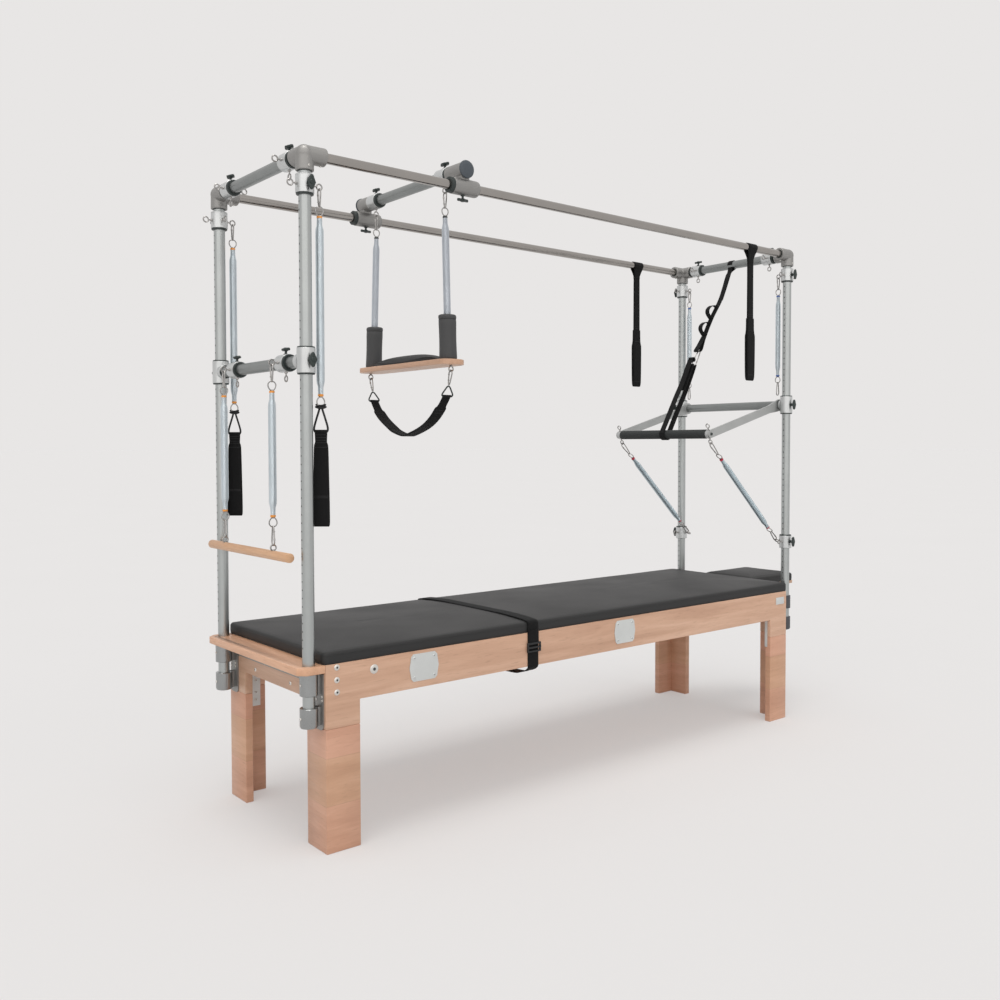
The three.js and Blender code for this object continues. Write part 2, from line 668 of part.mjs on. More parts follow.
// Posts. Those at the right also carry the clamped push bar sleeves and the lower collars
const springEye = v(post.x, push.eyeY, collarZ.lower);
const pushArm = v(push.gripX - post.x, 0, push.gripZ - push.z);
const pushArmWay = pushArm.clone().normalize();
const pushDown = v(-pushArmWay.z, 0, pushArmWay.x);
const lugEye = v(push.gripX, 0, push.gripZ).addScaledVector(pushDown, push.eyeReach);
const lugHook = lugEye.clone().addScaledVector(pushDown, eye.radius);
const pushWay = lugHook.clone().sub(v(post.x, 0, collarZ.lower)).normalize();

function makePosts() {
  for (const [endName, sx] of ends) {
    const foot = sleeveBands[endName].cup + bracket.cupBase + seatGap;
    for (const [sideName, sy] of sides) {
      const x = sx * post.x;
      const y = sy * post.y;
      const at = (z) => v(x, y, z);
      const inward = v(0, -sy, 0);
      const pieces = [tube(at(foot), at(rail.z - corner.stop), post.radius, post.radius - post.wall)];
      if (endName === 'right') {
        const inner = post.radius - bury;
        const fitting = tube(
          at(push.z - push.sleeveHalf), at(push.z + push.sleeveHalf), collar.radius, inner, facets.tube,
        );
        const boss = rod(at(push.z), at(push.z).addScaledVector(inward, push.bossReach), push.boss);
        const seatEnd = post.y - push.tubeEnd - seatGap;
        const throat = rod(
          at(push.z).addScaledVector(inward, seatEnd),
          at(push.z).addScaledVector(inward, push.bossReach + cutOverrun),
          (post.radius + runningGap) * roundUpFacets,
        );
        const bossShell = boss.subtract(rod(at(push.z - push.boss), at(push.z + push.boss), inner));
        const outward = inward.clone().negate();
        pieces.push(wingKnob(at(push.z).addScaledVector(outward, collar.radius), outward, axisZ));
        const eyes = [[inward, pushWay.clone().cross(axisY)], [v(sx, 0, 0), axisY], [v(-sx, 0, 0), axisY]];
        pieces.push(clampCollar(at(collarZ.lower), axisZ, outward, eyes, inner));
        pieces.push(fitting, bossShell);
        addPart(`post_${sideName}_${endName}`, join(pieces).subtract(throat), finish.satin);
      } else {
        addPart(`post_${sideName}_${endName}`, join(pieces), finish.satin);
      }
    }
  }
}

// Canopy: corner fittings, top rails and top crossbars with their clamped collars
function makeCanopy() {
  for (const [endName, sx] of ends) {
    for (const [sideName, sy] of sides) {
      const middle = v(sx * post.x, sy * post.y, rail.z);
      const arms = [
        [v(0, 0, -1), corner.down, post.radius], [v(-sx, 0, 0), corner.along, rail.radius],
        [v(0, -sy, 0), corner.across, post.radius],
      ];
      const solids = [asSolid(new THREE.SphereGeometry(corner.ball, facets.tube, facets.knob)
        .translate(middle.x, middle.y, middle.z))];
      const bores = [];
      for (const [way, reach, radius] of arms) {
        const mouth = middle.clone().addScaledVector(way, reach);
        const neck = corner.radius - corner.draft;
        const socket = [[0, 0], [neck, 0], [corner.radius, reach], [0, reach]];
        solids.push(turned(socket, middle, mouth, facets.tube));
        const seat = middle.clone().addScaledVector(way, corner.stop - seatGap);
        bores.push(rod(seat, mouth.clone().addScaledVector(way, cutOverrun), radius + seatGap));
      }
      const fitting = join(solids).subtract(join(bores));
      addPart(`corner_fitting_${sideName}_${endName}`, fitting, finish.cast);
    }
  }
  const railEnd = post.x - corner.stop;
  for (const [name, sy] of sides) {
    const y = sy * post.y;
    const span = tube(v(-railEnd, y, rail.z), v(railEnd, y, rail.z), rail.radius, rail.radius - rail.wall);
    addPart(`top_rail_${name}`, span, finish.stainless);
  }
  const barEnd = post.y - corner.stop;
  const grab = post.radius - bury;
  for (const [name, sx] of ends) {
    const x = sx * post.x;
    const pieces = [tube(v(x, -barEnd, rail.z), v(x, barEnd, rail.z), post.radius, post.radius - post.wall)];
    for (const y of crossbarCollars[name]) {
      const eyes = [[v(sx, 0, 0), axisY], [v(-sx, 0, 0), axisY], [v(0, 0, -1), axisX]];
      pieces.push(clampCollar(v(x, y, rail.z), axisY, axisZ, eyes, grab));
    }
    addPart(`top_crossbar_${name}`, join(pieces), finish.satin);
  }
}

// Sliding collars near the tops of the posts
function makeUpperCollars() {
  for (const [endName, sx] of ends) {
    for (const [sideName, sy] of sides) {
      const hookEye = endName === 'right' ? facets.hookEye : facets.eye;
      const eyes = [[v(sx, 0, 0), axisY], [v(-sx, 0, 0), axisY], [v(0, -sy, 0), axisX, hookEye]];
      const at = v(sx * post.x, sy * post.y, collarZ.upper);
      const solid = clampCollar(at, axisZ, v(0, sy, 0), eyes, post.radius + runningGap);
      addPart(`upper_collar_${sideName}_${endName}`, solid, finish.satin);
    }
  }
}

// Rolling trapeze
const trolleyZ = rail.z + trolley.rise;
const trolleyEyeZ = trolleyZ - eye.reach;

function makeTrolley() {
  const { x, halfWidth, sleeve, flange, saddle, saddleReach, cap, capLength, pinch } = trolley;
  const bar = rod(v(x, -halfWidth, trolleyZ), v(x, halfWidth, trolleyZ), post.radius);
  const pieces = [];
  const bores = [];
  for (const [i, [, sy]] of sides.entries()) {
    const y = sy * post.y;
    const bore = rail.radius + runningGap;
    const profile = [
      [0, 0], [collar.flange, 0], [collar.radius, flange], [collar.radius, 2 * sleeve - flange],
      [collar.flange, 2 * sleeve], [0, 2 * sleeve],
    ];
    const start = v(x - sleeve, y, rail.z);
    pieces.push(turned(profile, start, v(x, y, rail.z), facets.tube));
    const outer = v(x, sy * halfWidth, trolleyZ);
    pieces.push(rod(v(x, sy * (post.y - saddleReach[i]), trolleyZ), outer, saddle));
    pieces.push(box(v(x - pinch, y - pinch, rail.z), v(x + pinch, y + pinch, trolleyZ)));
    pieces.push(wingKnob(v(x, y, rail.z - collar.radius), v(0, 0, -1), axisX));
    const past = sleeve + cutOverrun;
    bores.push(rod(v(x - past, y, rail.z), v(x + past, y, rail.z), bore));
    const dome = [[0, 0], [cap, 0], [cap, capLength / 3], [(cap + pinch) / 2, capLength * 3 / 4], [0, capLength]];
    pieces.push(turned(dome, outer, v(x, sy * (halfWidth + capLength), trolleyZ), facets.tube));
  }
  const clamps = trolley.collars.map((y) => clampCollar(
    v(x, y, trolleyZ), axisY, axisZ, [[v(0, 0, -1), axisY]], post.radius - bury,
  ));
  addPart('trolley', join(pieces).subtract(join(bores)).add(join([bar, ...clamps])), finish.satin);
}

// The board in plan, with rounded corners
function trapezeOutline(x, front, back, depth) {
  const r = trapeze.cornerRadius;
  const [left, right] = [x - depth / 2, x + depth / 2];
  const shape = new THREE.Shape();
  shape.moveTo(left, front + r);
  shape.absarc(left + r, front + r, r, Math.PI, Math.PI * 3 / 2, false);
  shape.absarc(right - r, front + r, r, -Math.PI / 2, 0, false);
  shape.absarc(right - r, back - r, r, 0, Math.PI / 2, false);
  shape.absarc(left + r, back - r, r, Math.PI / 2, Math.PI, false);
  return shape;
}

function makeTrapeze() {
  const { x } = trolley;
  const { top, thickness, depth, front, back, stud, studHeight } = trapeze;
  const springBottom = top + studHeight + seatGap;
  for (const [i, [name]] of sides.entries()) {
    const y = trapeze.studs[i];
    const lean = y - trolley.collars[i];
    const hang = [x, trolley.collars[i], trolleyEyeZ, springBottom, legSpring.radius, axisX, { lean }];
    addPart(`trapeze_spring_${name}`, hungSpring(...hang), finish.coil);
    const sleeveLow = top + seatGap;
    const sleeveTop = sleeveLow + trapeze.sleeveHeight;
    const upright = tube(v(x, y, sleeveLow), v(x, y, sleeveTop), trapeze.sleeve, trapeze.bore);
    const slope = -lean / (coilTop(trolleyEyeZ) - springBottom);
    addPart(`trapeze_sleeve_${name}`, leaned(upright, slope, springBottom), finish.vinyl);
  }
  const low = top - thickness;
  const board = alongZ(trapezeOutline(x, front, back, depth), low, top, facets.fillet);
  const studs = trapeze.studs.map((y) => (
    rod(v(x, y, top - bury), v(x, y, top + studHeight), stud, facets.knob)
  ));
  const eyeReach = eye.radius + 2 * eye.wire;
  const eyes = sling.eyes.map((y) => eyebolt(v(x, y, low), v(0, 0, -1), axisY, 0, eyeReach));
  addPart('trapeze_board', join([board, ...studs, ...eyes]), finish.beech);
  const gap = trapeze.sleeve + trapeze.padGap;
  const padLow = v(x - depth / 2, trapeze.studs[0] + gap, 0);
  const padHigh = v(x + depth / 2, trapeze.studs[1] - gap, 0);
  const soft = cushion(padLow, padHigh, top + seatGap, trapezePad, cushionSides.pads);
  addPart('trapeze_pad', soft, finish.vinyl);
}

function makeSling() {
  const { x } = trolley;
  const eyeZ = trapeze.top - trapeze.thickness - eye.radius - 2 * eye.wire;
  const linkTop = eyeZ - eye.radius + hangGrab + sling.leanGap;
  const linkLow = linkTop - sling.link;
  const start = linkLow - sling.triangleHeight;
  const pieces = [];
  const [front, back] = sling.eyes.map((y) => {
    const inward = -Math.sign(y);
    const apex = v(x, y + inward * sling.linkLean, linkLow);
    const foot = v(x, apex.y + inward * sling.triangleLean, start);
    const half = v(sling.triangle, 0, 0);
    pieces.push(wireLink(v(x, y, linkTop), apex, axisX));
    const normal = foot.clone().sub(apex).normalize().cross(axisX);
    pieces.push(closedWire([apex, foot.clone().sub(half), foot.clone().add(half)], normal, ring.wire));
    return foot.y;
  });
  const depthShares = [0, 0.42, 0.72, 0.93, 1, 0.93, 0.72, 0.42, 0];
  const points = depthShares.map((share, i) => {
    const y = front + (back - front) * i / (depthShares.length - 1);
    return v(x, y, start + (sling.low + sling.thickness / 2 - start) * share);
  });
  pieces.push(webbing(points, sling.width, sling.thickness, axisX));
  addPart('trapeze_sling', join(pieces), finish.webbing);
}

// Sliding crossbar at the left end, and the roll-up bar that hangs from it
function makeMidBar() {
  const x = -post.x;
  const pieces = [];
  const bores = [];
  const reach = post.y - collar.radius;
  for (const [, sy] of sides) {
    const at = (z) => v(x, sy * post.y, z);
    pieces.push(rod(at(midBar.z - midBar.half), at(midBar.z + midBar.half), collar.radius, facets.tube));
    const mouth = at(midBar.z).add(v(0, -sy * midBar.socket, 0));
    pieces.push(rod(at(midBar.z), mouth, push.boss, facets.tube));
    const past = midBar.half + cutOverrun;
    bores.push(rod(at(midBar.z - past), at(midBar.z + past), post.radius + runningGap));
    pieces.push(wingKnob(at(midBar.z).add(v(0, sy * collar.radius, 0)), v(0, sy, 0), axisZ));
  }
  const bar = rod(v(x, -reach, midBar.z), v(x, reach, midBar.z), post.radius);
  const clamps = midBar.collars.map((y) => clampCollar(
    v(x, y, midBar.z), axisY, axisZ, [[v(-1, 0, 0), axisY], [v(1, 0, 0), axisY], [v(0, 0, -1), axisX]],
    post.radius - bury,
  ));
  addPart('mid_crossbar', join([...pieces, bar, ...clamps]).subtract(join(bores)), finish.satin);
}

function makeRollBar() {
  const x = -(post.x + eye.reach);
  const { z, radius, centre, halfLength, coilBottom, coilRadius } = rollBar;
  const pieces = [rod(v(x, centre - halfLength, z), v(x, centre + halfLength, z), radius)];
  for (const [i, y] of midBar.collars.entries()) {
    const spring = hungSpring(x, y, midBar.z, coilBottom, coilRadius, axisX);
    addPart(`roll_spring_${sides[i][0]}`, spring, finish.coil);
    const lower = lowerRing(x, y, coilBottom, axisY);
    const eyeCentre = radius + eye.radius;
    pieces.push(lower.solid);
    pieces.push(wireLink(v(x, y, lower.wireZ), v(x, y, z + eyeCentre + eye.radius), axisX));
    pieces.push(hoop(v(x, y, z + eyeCentre), axisY, eye.radius, eye.wire));
  }
  addPart('roll_bar', join(pieces), finish.beech);
}

// Leg springs with their loop handles, and arm springs
function makeLegSprings() {
  const x = eye.reach - post.x;
  for (const [name, sy] of sides) {
    const y = sy * post.y;
    const spring = hungSpring(x, y, collarZ.upper, legSpring.bottom, legSpring.radius, axisX);
    addPart(`leg_spring_${name}`, spring, finish.coil);
    const lower = lowerRing(x, y, legSpring.bottom, axisY);
    const { top, bottom, width, thickness, rope, yaw } = legHandle;
    const out = v(Math.cos(THREE.MathUtils.degToRad(yaw)), -Math.sin(THREE.MathUtils.degToRad(yaw)), 0);
    const hang = v(x, y, lower.wireZ);
    const pieces = [lower.solid];
    for (const side of [-1, 1]) {
      const edge = v(x, y, top - bury).addScaledVector(out, side * (width / 2 - rope));
      pieces.push(rod(hang, edge, rope, facets.knob));
    }
    const outline = new THREE.Shape();
    const r = width / 4;
    outline.moveTo(-width / 2, top - bottom - r);
    outline.lineTo(-width / 2, r);
    outline.absarc(r - width / 2, r, r, Math.PI, Math.PI * 3 / 2, false);
    outline.absarc(width / 2 - r, r, r, -Math.PI / 2, 0, false);
    outline.lineTo(width / 2, top - bottom - r);
    outline.absarc(width / 2 - r, top - bottom - r, r, 0, Math.PI / 2, false);
    outline.absarc(r - width / 2, top - bottom - r, r, Math.PI / 2, Math.PI, false);
    const loop = extruded(outline, thickness, facets.handle);
    loop.translate(0, 0, -thickness / 2);
    loop.applyMatrix4(new THREE.Matrix4().makeBasis(out, axisZ, out.clone().cross(axisZ)));
    loop.translate(x, y, bottom);
    pieces.push(asSolid(loop));
    addPart(`leg_handle_${name}`, join(pieces), finish.webbing);
  }
}

function makeArmSprings() {
  for (const [name, sy] of sides) {
    const y = sy * (post.y - eye.reach);
    const lower = lowerRing(post.x, y, armSpring.bottom + seatGap + ring.wire + coil.tip / 2, axisX);
    const hang = [post.x, y, collarZ.upper, armSpring.bottom, armSpring.radius, axisY, { grab: hookGrab }];
    const spring = hungSpring(...hang);
    const hook = wireLink(v(post.x, y, lower.wireZ), v(post.x, y, armSpring.hookBottom + link.wire), axisY);
    addPart(`arm_spring_${name}`, join([spring, lower.solid, hook]), finish.coil);
  }
}

// Push-through bar
function makePushBar() {
  const pivot = (y) => v(post.x, y, push.z);
  const gripAt = (y) => v(push.gripX, y, push.gripZ);
  const bar = rod(pivot(-push.tubeEnd), pivot(push.tubeEnd), post.radius);
  const pieces = [bar];
  for (const [, sy] of sides) {
    const faces = [push.armY - push.armThick / 2, push.armY + push.armThick / 2];
    const [low, high] = faces.map((reach) => sy * reach).sort((a, b) => a - b);
    pieces.push(rod(pivot(low), pivot(high), push.hub));
    pieces.push(rod(gripAt(low), gripAt(high), push.armHeight / 2));
    const half = push.armHeight / 2;
    const corners = [[0, half], [0, -half], [1, -half], [1, half]].map(([share, offset]) => {
      const at = v(post.x, 0, push.z).addScaledVector(pushArm, share).addScaledVector(pushDown, offset);
      return [at.x, at.z];
    });
    pieces.push(alongY(shapeOf(corners), low, high));
    pieces.push(rod(gripAt(sy * push.lugInner), gripAt(sy * push.armY), push.lug));
    const pinEnd = push.lugInner - push.pinLength;
    pieces.push(rod(gripAt(sy * pinEnd), gripAt(sy * push.armY), push.pin, facets.knob));
    for (const way of [pushDown, pushDown.clone().negate()]) {
      pieces.push(eyebolt(gripAt(sy * push.eyeY), way, pushArmWay, push.lug, push.eyeReach));
    }
  }
  addPart('push_frame', join(pieces), finish.satin);
  const gripEnd = push.lugInner - seatGap * 2;
  addPart('push_grip', tube(gripAt(-gripEnd), gripAt(gripEnd), grip.radius, grip.bore), finish.foam);
}

function makePushSprings() {
  for (const [name, sy] of sides) {
    const y = sy * push.eyeY;
    const low = v(post.x, y, collarZ.lower).addScaledVector(pushWay, eye.radius);
    const high = v(lugHook.x, y, lugHook.z);
    const way = high.clone().sub(low).normalize();
    const at = (distance) => low.clone().addScaledVector(way, distance);
    const ringNormal = way.clone().cross(axisY);
    const lowRing = pushCoil.start - ring.radius;
    addPart(`push_spring_${name}`, join([
      wireLink(at(-hangGrab), at(lowRing - ring.radius), axisY),
      hoop(at(lowRing), ringNormal, ring.radius, ring.wire),
      coilBody(at(pushCoil.start), at(pushCoil.end), pushCoil.radius),
    ]), finish.coil);
    const highRing = pushCoil.end + seatGap + ring.wire + ring.radius;
    const reach = low.distanceTo(high) + link.wire + eye.wire + seatGap;
    addPart(`push_hook_${name}`, join([
      hoop(at(highRing), ringNormal, ring.radius, ring.wire),
      wireLink(at(highRing + ring.radius), at(reach), axisY),
    ]), finish.satin);
  }
}

// Webbing
function makeSafetyStrap() {
  const { width, thickness, y, gripGap, wrapSteps: steps } = safety;
  const roundUp = Math.cos(Math.PI / 2 / steps);
  const wrap = (post.radius + seatGap) / roundUp + thickness / 2;
  const hug = (grip.radius + gripGap) / roundUp + thickness / 2;
  const down = v(push.gripX - post.x, 0, push.gripZ - rail.z).normalize();
  const out = v(-down.z, 0, down.x);
  const top = v(post.x, y, rail.z);
  const low = v(push.gripX, y, push.gripZ);
  const points = [];
  for (let i = 0; i <= steps; i += 1) {
    const angle = -Math.PI / 2 + Math.PI * i / steps;
    const offset = out.clone().multiplyScalar(-wrap * Math.sin(angle));
    points.push(top.clone().add(offset).addScaledVector(down, -wrap * Math.cos(angle)));
  }
  for (let i = 0; i < steps; i += 1) {
    const angle = -Math.PI / 2 + Math.PI * i / steps;
    const offset = out.clone().multiplyScalar(hug * Math.sin(angle));
    points.push(low.clone().add(offset).addScaledVector(down, hug * Math.cos(angle)));
  }
  addPart('safety_strap', webbing(points, width, thickness, axisY), finish.webbing);
}

function makeStrapLoops() {
  for (const [name, sy] of sides) {
    const x = post.x - (name === 'front' ? strapLoop.frontInset : strapLoop.backInset);
    const y = sy * post.y;
    const { strap, thin, padded, thick, waist, bottom, wrap } = strapLoop;
    const bore = (rail.radius + seatGap) * roundUpFacets;
    const wrapRing = tube(v(x - strap / 2, y, rail.z), v(x + strap / 2, y, rail.z), bore + wrap, bore);
    const hang = box(
      v(x - strap / 2, y - thin, waist - bury), v(x + strap / 2, y + thin, rail.z - bore - wrap / 2),
    );
    const taper = (padded - strap) / 2;
    const outline = shapeOf([
      [x - strap / 2, waist], [x - padded / 2, waist - taper], [x - padded / 2, bottom + taper],
      [x - strap / 2, bottom], [x + strap / 2, bottom], [x + padded / 2, bottom + taper],
      [x + padded / 2, waist - taper], [x + strap / 2, waist],
    ]);
    const loop = alongY(outline, y - thick / 2, y + thick / 2);
    addPart(`strap_loop_${name}`, join([wrapRing, hang, loop]), finish.webbing);
  }
}

makeBed();
makeEndBoard();
makeMattress();
makeMatStrap();
makeEndPad();
makeBrackets();
makePosts();
makeCanopy();
makeUpperCollars();
makeTrolley();
makeTrapeze();
makeSling();
makeMidBar();
makeRollBar();
makeLegSprings();
makeArmSprings();
makePushBar();
makePushSprings();
makeSafetyStrap();
makeStrapLoops();
model.position.x = -middleX;

export default model;
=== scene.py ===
import json
import math
import bmesh
import bpy
import numpy as np
from mathutils import Matrix, Vector

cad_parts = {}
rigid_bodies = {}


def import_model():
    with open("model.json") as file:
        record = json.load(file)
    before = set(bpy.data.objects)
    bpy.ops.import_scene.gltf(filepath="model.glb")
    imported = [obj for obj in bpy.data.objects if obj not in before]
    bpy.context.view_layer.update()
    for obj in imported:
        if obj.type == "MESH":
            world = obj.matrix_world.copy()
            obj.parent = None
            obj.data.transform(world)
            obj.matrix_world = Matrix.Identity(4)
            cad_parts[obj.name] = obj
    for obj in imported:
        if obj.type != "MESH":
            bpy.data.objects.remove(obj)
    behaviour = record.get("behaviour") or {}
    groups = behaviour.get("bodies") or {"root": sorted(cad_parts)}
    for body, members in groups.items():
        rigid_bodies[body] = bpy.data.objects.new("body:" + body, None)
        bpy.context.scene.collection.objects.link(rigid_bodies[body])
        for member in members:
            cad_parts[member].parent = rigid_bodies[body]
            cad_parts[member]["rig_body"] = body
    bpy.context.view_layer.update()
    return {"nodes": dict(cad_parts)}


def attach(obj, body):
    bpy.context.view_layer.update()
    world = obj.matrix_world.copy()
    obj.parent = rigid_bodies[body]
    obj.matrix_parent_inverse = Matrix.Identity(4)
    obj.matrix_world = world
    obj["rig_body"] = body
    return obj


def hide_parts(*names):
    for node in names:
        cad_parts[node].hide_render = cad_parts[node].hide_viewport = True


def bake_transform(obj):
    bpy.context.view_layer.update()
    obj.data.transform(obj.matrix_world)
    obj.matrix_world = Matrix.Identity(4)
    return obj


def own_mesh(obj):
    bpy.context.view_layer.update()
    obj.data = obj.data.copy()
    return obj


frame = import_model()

SHIFT_X = 102.0
PI = math.pi


def V(x, y, z):
    return np.array([x, y, z], float)


X, Y, Z = V(1, 0, 0), V(0, 1, 0), V(0, 0, 1)


def unit(a):
    return a / np.linalg.norm(a)


def metres(points):
    return (np.asarray(points, float) - V(SHIFT_X, 0, 0)) / 1000


def square_to(way):
    way = unit(way)
    side = unit(np.cross(way, X if abs(way[0]) < 0.8 else Z))
    return side, np.cross(way, side)


# Meshes from code
def turns(count):
    """Angles for count places round a circle."""
    return np.linspace(0, 2 * PI, count, endpoint=False)


def grid(rows, count, closed=False, capped=True):
    """Faces between rows of count points that are rings, with a cap at both ends where it isn't closed."""
    index = np.arange(rows * count).reshape(rows, count)
    low = index if closed else index[:-1]
    high = np.roll(index, -1, 0) if closed else index[1:]
    faces = np.stack([low, np.roll(low, -1, 1), np.roll(high, -1, 1), high], -1).reshape(-1, 4).tolist()
    if capped and not closed:
        faces += [index[0][::-1].tolist(), index[-1].tolist()]
    return faces


class Shell:
    """Collects closed forms, each with the key of its material, and makes one object of them."""

    def __init__(self, default="collar"):
        self.verts, self.faces, self.mats, self.keys = [], [], [], []
        self.default, self.count = default, 0

    def add(self, verts, faces, key=None):
        key = key or self.default
        if key not in self.keys:
            self.keys.append(key)
        mat = self.keys.index(key)
        base = self.count
        self.verts.append(np.asarray(verts, float).reshape(-1, 3))
        self.count += len(self.verts[-1])
        self.faces += [[base + int(i) for i in face] for face in faces]
        self.mats += [mat] * len(faces)

    def make(self, name, angle=34, outward=True):
        mesh = bpy.data.meshes.new(name)
        mesh.from_pydata(metres(np.vstack(self.verts)).tolist(), [], self.faces)
        for key in self.keys:
            mesh.materials.append(M[key])
        mesh.polygons.foreach_set("material_index", self.mats)
        if outward:
            bm = bmesh.new()
            bm.from_mesh(mesh)
            bmesh.ops.recalc_face_normals(bm, faces=bm.faces)
            bm.to_mesh(mesh)
            bm.free()
        mesh.shade_smooth()
        mesh.set_sharp_from_angle(angle=math.radians(angle))
        mesh.update()
        obj = bpy.data.objects.new(name, mesh)
        bpy.context.scene.collection.objects.link(obj)
        return obj

    def dress(self, name, node, slot, fill=None, angle=34):
        dress(self.make(name, angle), node)

    def extra(self, name, body, slot, angle=34):
        extra(self.make(name, angle), body)


def lathe(s, profile, start, way, seg, mat, ring=False):
    """Turns [radius, height] pairs about the way from start. ring=True closes the profile on itself."""
    way = unit(way)
    side, up = square_to(way)
    angles = np.arange(seg) * 2 * PI / seg
    circle = np.outer(np.cos(angles), side) + np.outer(np.sin(angles), up)
    verts, rows = [], []
    for radius, height in profile:
        at = start + way * height
        if radius < 1e-6:
            rows.append([len(verts)] * seg)
            verts.append(at)
        else:
            rows.append(list(range(len(verts), len(verts) + seg)))
            verts.extend(at + circle * radius)
    pairs = list(zip(rows, rows[1:] + rows[:1])) if ring else list(zip(rows, rows[1:]))
    faces = []
    for low, high in pairs:
        for i in range(seg):
            j = (i + 1) % seg
            face = [low[i], low[j], high[j], high[i]]
            kept = [k for n, k in enumerate(face) if k not in face[:n]]
            if len(kept) > 2:
                faces.append(kept)
    s.add(verts, faces, mat)


def rod(s, start, end, radius, seg, mat, edge=0.0):
    length = np.linalg.norm(end - start)
    profile = [(0, 0), (radius, 0), (radius, length), (0, length)]
    if edge:
        profile = [(0, 0), (radius - edge, 0), (radius, edge), (radius, length - edge),
                   (radius - edge, length), (0, length)]
    lathe(s, profile, start, end - start, seg, mat)


def pipe(s, start, end, outer, inner, seg, mat, edge):
    length = np.linalg.norm(end - start)
    profile = [(inner, 0), (outer - edge, 0), (outer, edge), (outer, length - edge),
               (outer - edge, length), (inner, length)]
    lathe(s, profile, start, end - start, seg, mat, ring=True)


def wire(s, points, radius, closed=False, seg=8, mat=None, flat=None):
    """A round wire along points. flat is the normal of the plane that a planar wire lies in."""
    pts = np.asarray(points, float)
    n = len(pts)
    if closed:
        tangents = np.roll(pts, -1, 0) - np.roll(pts, 1, 0)
    else:
        tangents = np.gradient(pts, axis=0)
    tangents /= np.linalg.norm(tangents, axis=1)[:, None]
    ups = np.zeros_like(pts)
    up = unit(flat) if flat is not None else square_to(tangents[0])[0]
    for i in range(n):
        if flat is None:
            up = unit(up - tangents[i] * np.dot(up, tangents[i]))
        ups[i] = up
    sides = np.cross(tangents, ups)
    radii = np.broadcast_to(np.asarray(radius, float), (n,))
    angles = np.arange(seg) * 2 * PI / seg
    rings = (pts[:, None, :]
             + radii[:, None, None] * np.cos(angles)[None, :, None] * sides[:, None, :]
             + radii[:, None, None] * np.sin(angles)[None, :, None] * ups[:, None, :])
    s.add(rings.reshape(-1, 3), grid(n, seg, closed), mat)


def ribbon(s, points, width, thickness, across, closed=False, edge=0.35):
    """Flat webbing with rounded edges along points, its width along the axis across."""
    pts = np.asarray(points, float)
    n = len(pts)
    tangents = (np.roll(pts, -1, 0) - np.roll(pts, 1, 0)) if closed else np.gradient(pts, axis=0)
    tangents /= np.linalg.norm(tangents, axis=1)[:, None]
    across = unit(across)
    lifts = np.cross(across, tangents)
    lifts /= np.linalg.norm(lifts, axis=1)[:, None]
    widths = np.broadcast_to(np.asarray(width, float), (n,)) / 2
    half = np.broadcast_to(np.asarray(thickness, float), (n,)) / 2
    outline = [(-1, -edge), (-0.96, -1), (-0.5, -1), (0, -1), (0.5, -1), (0.96, -1), (1, -edge), (1, edge),
               (0.96, 1), (0.5, 1), (0, 1), (-0.5, 1), (-0.96, 1), (-1, edge)]
    rings = [pts + across * (a * widths)[:, None] + lifts * (b * half)[:, None] for a, b in outline]
    s.add(np.stack(rings, 1).reshape(-1, 3), grid(n, len(outline), closed))


def block(s, low, high, mat=None, edge=0.0):
    """A box, with chamfered edges where edge is above zero."""
    size = (high - low) / 2
    middle = (high + low) / 2
    if edge == 0:
        corners = [V(x, y, z) * size + middle for x in (-1, 1) for y in (-1, 1) for z in (-1, 1)]
        faces = [[0, 1, 3, 2], [4, 6, 7, 5], [0, 4, 5, 1], [2, 3, 7, 6], [0, 2, 6, 4], [1, 5, 7, 3]]
        s.add(corners, faces, mat)
        return
    bm = bmesh.new()
    bmesh.ops.create_cube(bm, size=2)
    for vert in bm.verts:
        vert.co = Vector(np.array(vert.co) * size + middle)
    bmesh.ops.bevel(bm, geom=bm.edges[:], offset=edge, segments=2, profile=0.5, affect="EDGES")
    verts = [list(vert.co) for vert in bm.verts]
    faces = [[vert.index for vert in face.verts] for face in bm.faces]
    bm.free()
    s.add(verts, faces, mat)


def prism(s, outline, low, high, axis, mat=None):
    """An outline of pairs in the plane square to axis ("x", "y" or "z"), from low to high along it."""
    def place(a, b, c):
        return {"x": V(c, a, b), "y": V(a, c, b), "z": V(a, b, c)}[axis]
    n = len(outline)
    verts = [place(a, b, c) for c in (low, high) for a, b in outline]
    faces = [[i, (i + 1) % n, n + (i + 1) % n, n + i] for i in range(n)]
    s.add(verts, faces + [list(range(n))[::-1], list(range(n, 2 * n))], mat)


def arc(centre, radius, start, end, steps):
    """Pairs along a flat arc, with its angles in degrees."""
    angles = np.radians(np.linspace(start, end, steps))
    return [(centre[0] + radius * math.cos(a), centre[1] + radius * math.sin(a)) for a in angles]


def smooth_path(points, count):
    """Catmull-Rom through the points, count places along it."""
    pts = np.asarray(points, float)
    ext = np.vstack([2 * pts[0] - pts[1], pts, 2 * pts[-1] - pts[-2]])
    out = []
    for t in np.linspace(0, len(pts) - 1 - 1e-9, count):
        i = int(t)
        f = t - i
        a, b, c, d = ext[i:i + 4]
        square, cube = 2 * a - 5 * b + 4 * c - d, 3 * b - a - 3 * c + d
        out.append(0.5 * (2 * b + (c - a) * f + square * f ** 2 + cube * f ** 3))
    return np.array(out)


def applied(obj):
    """Bakes an object's modifiers into its mesh."""
    graph = bpy.context.evaluated_depsgraph_get()
    mesh = bpy.data.meshes.new_from_object(obj.evaluated_get(graph))
    obj.modifiers.clear()
    obj.data = mesh


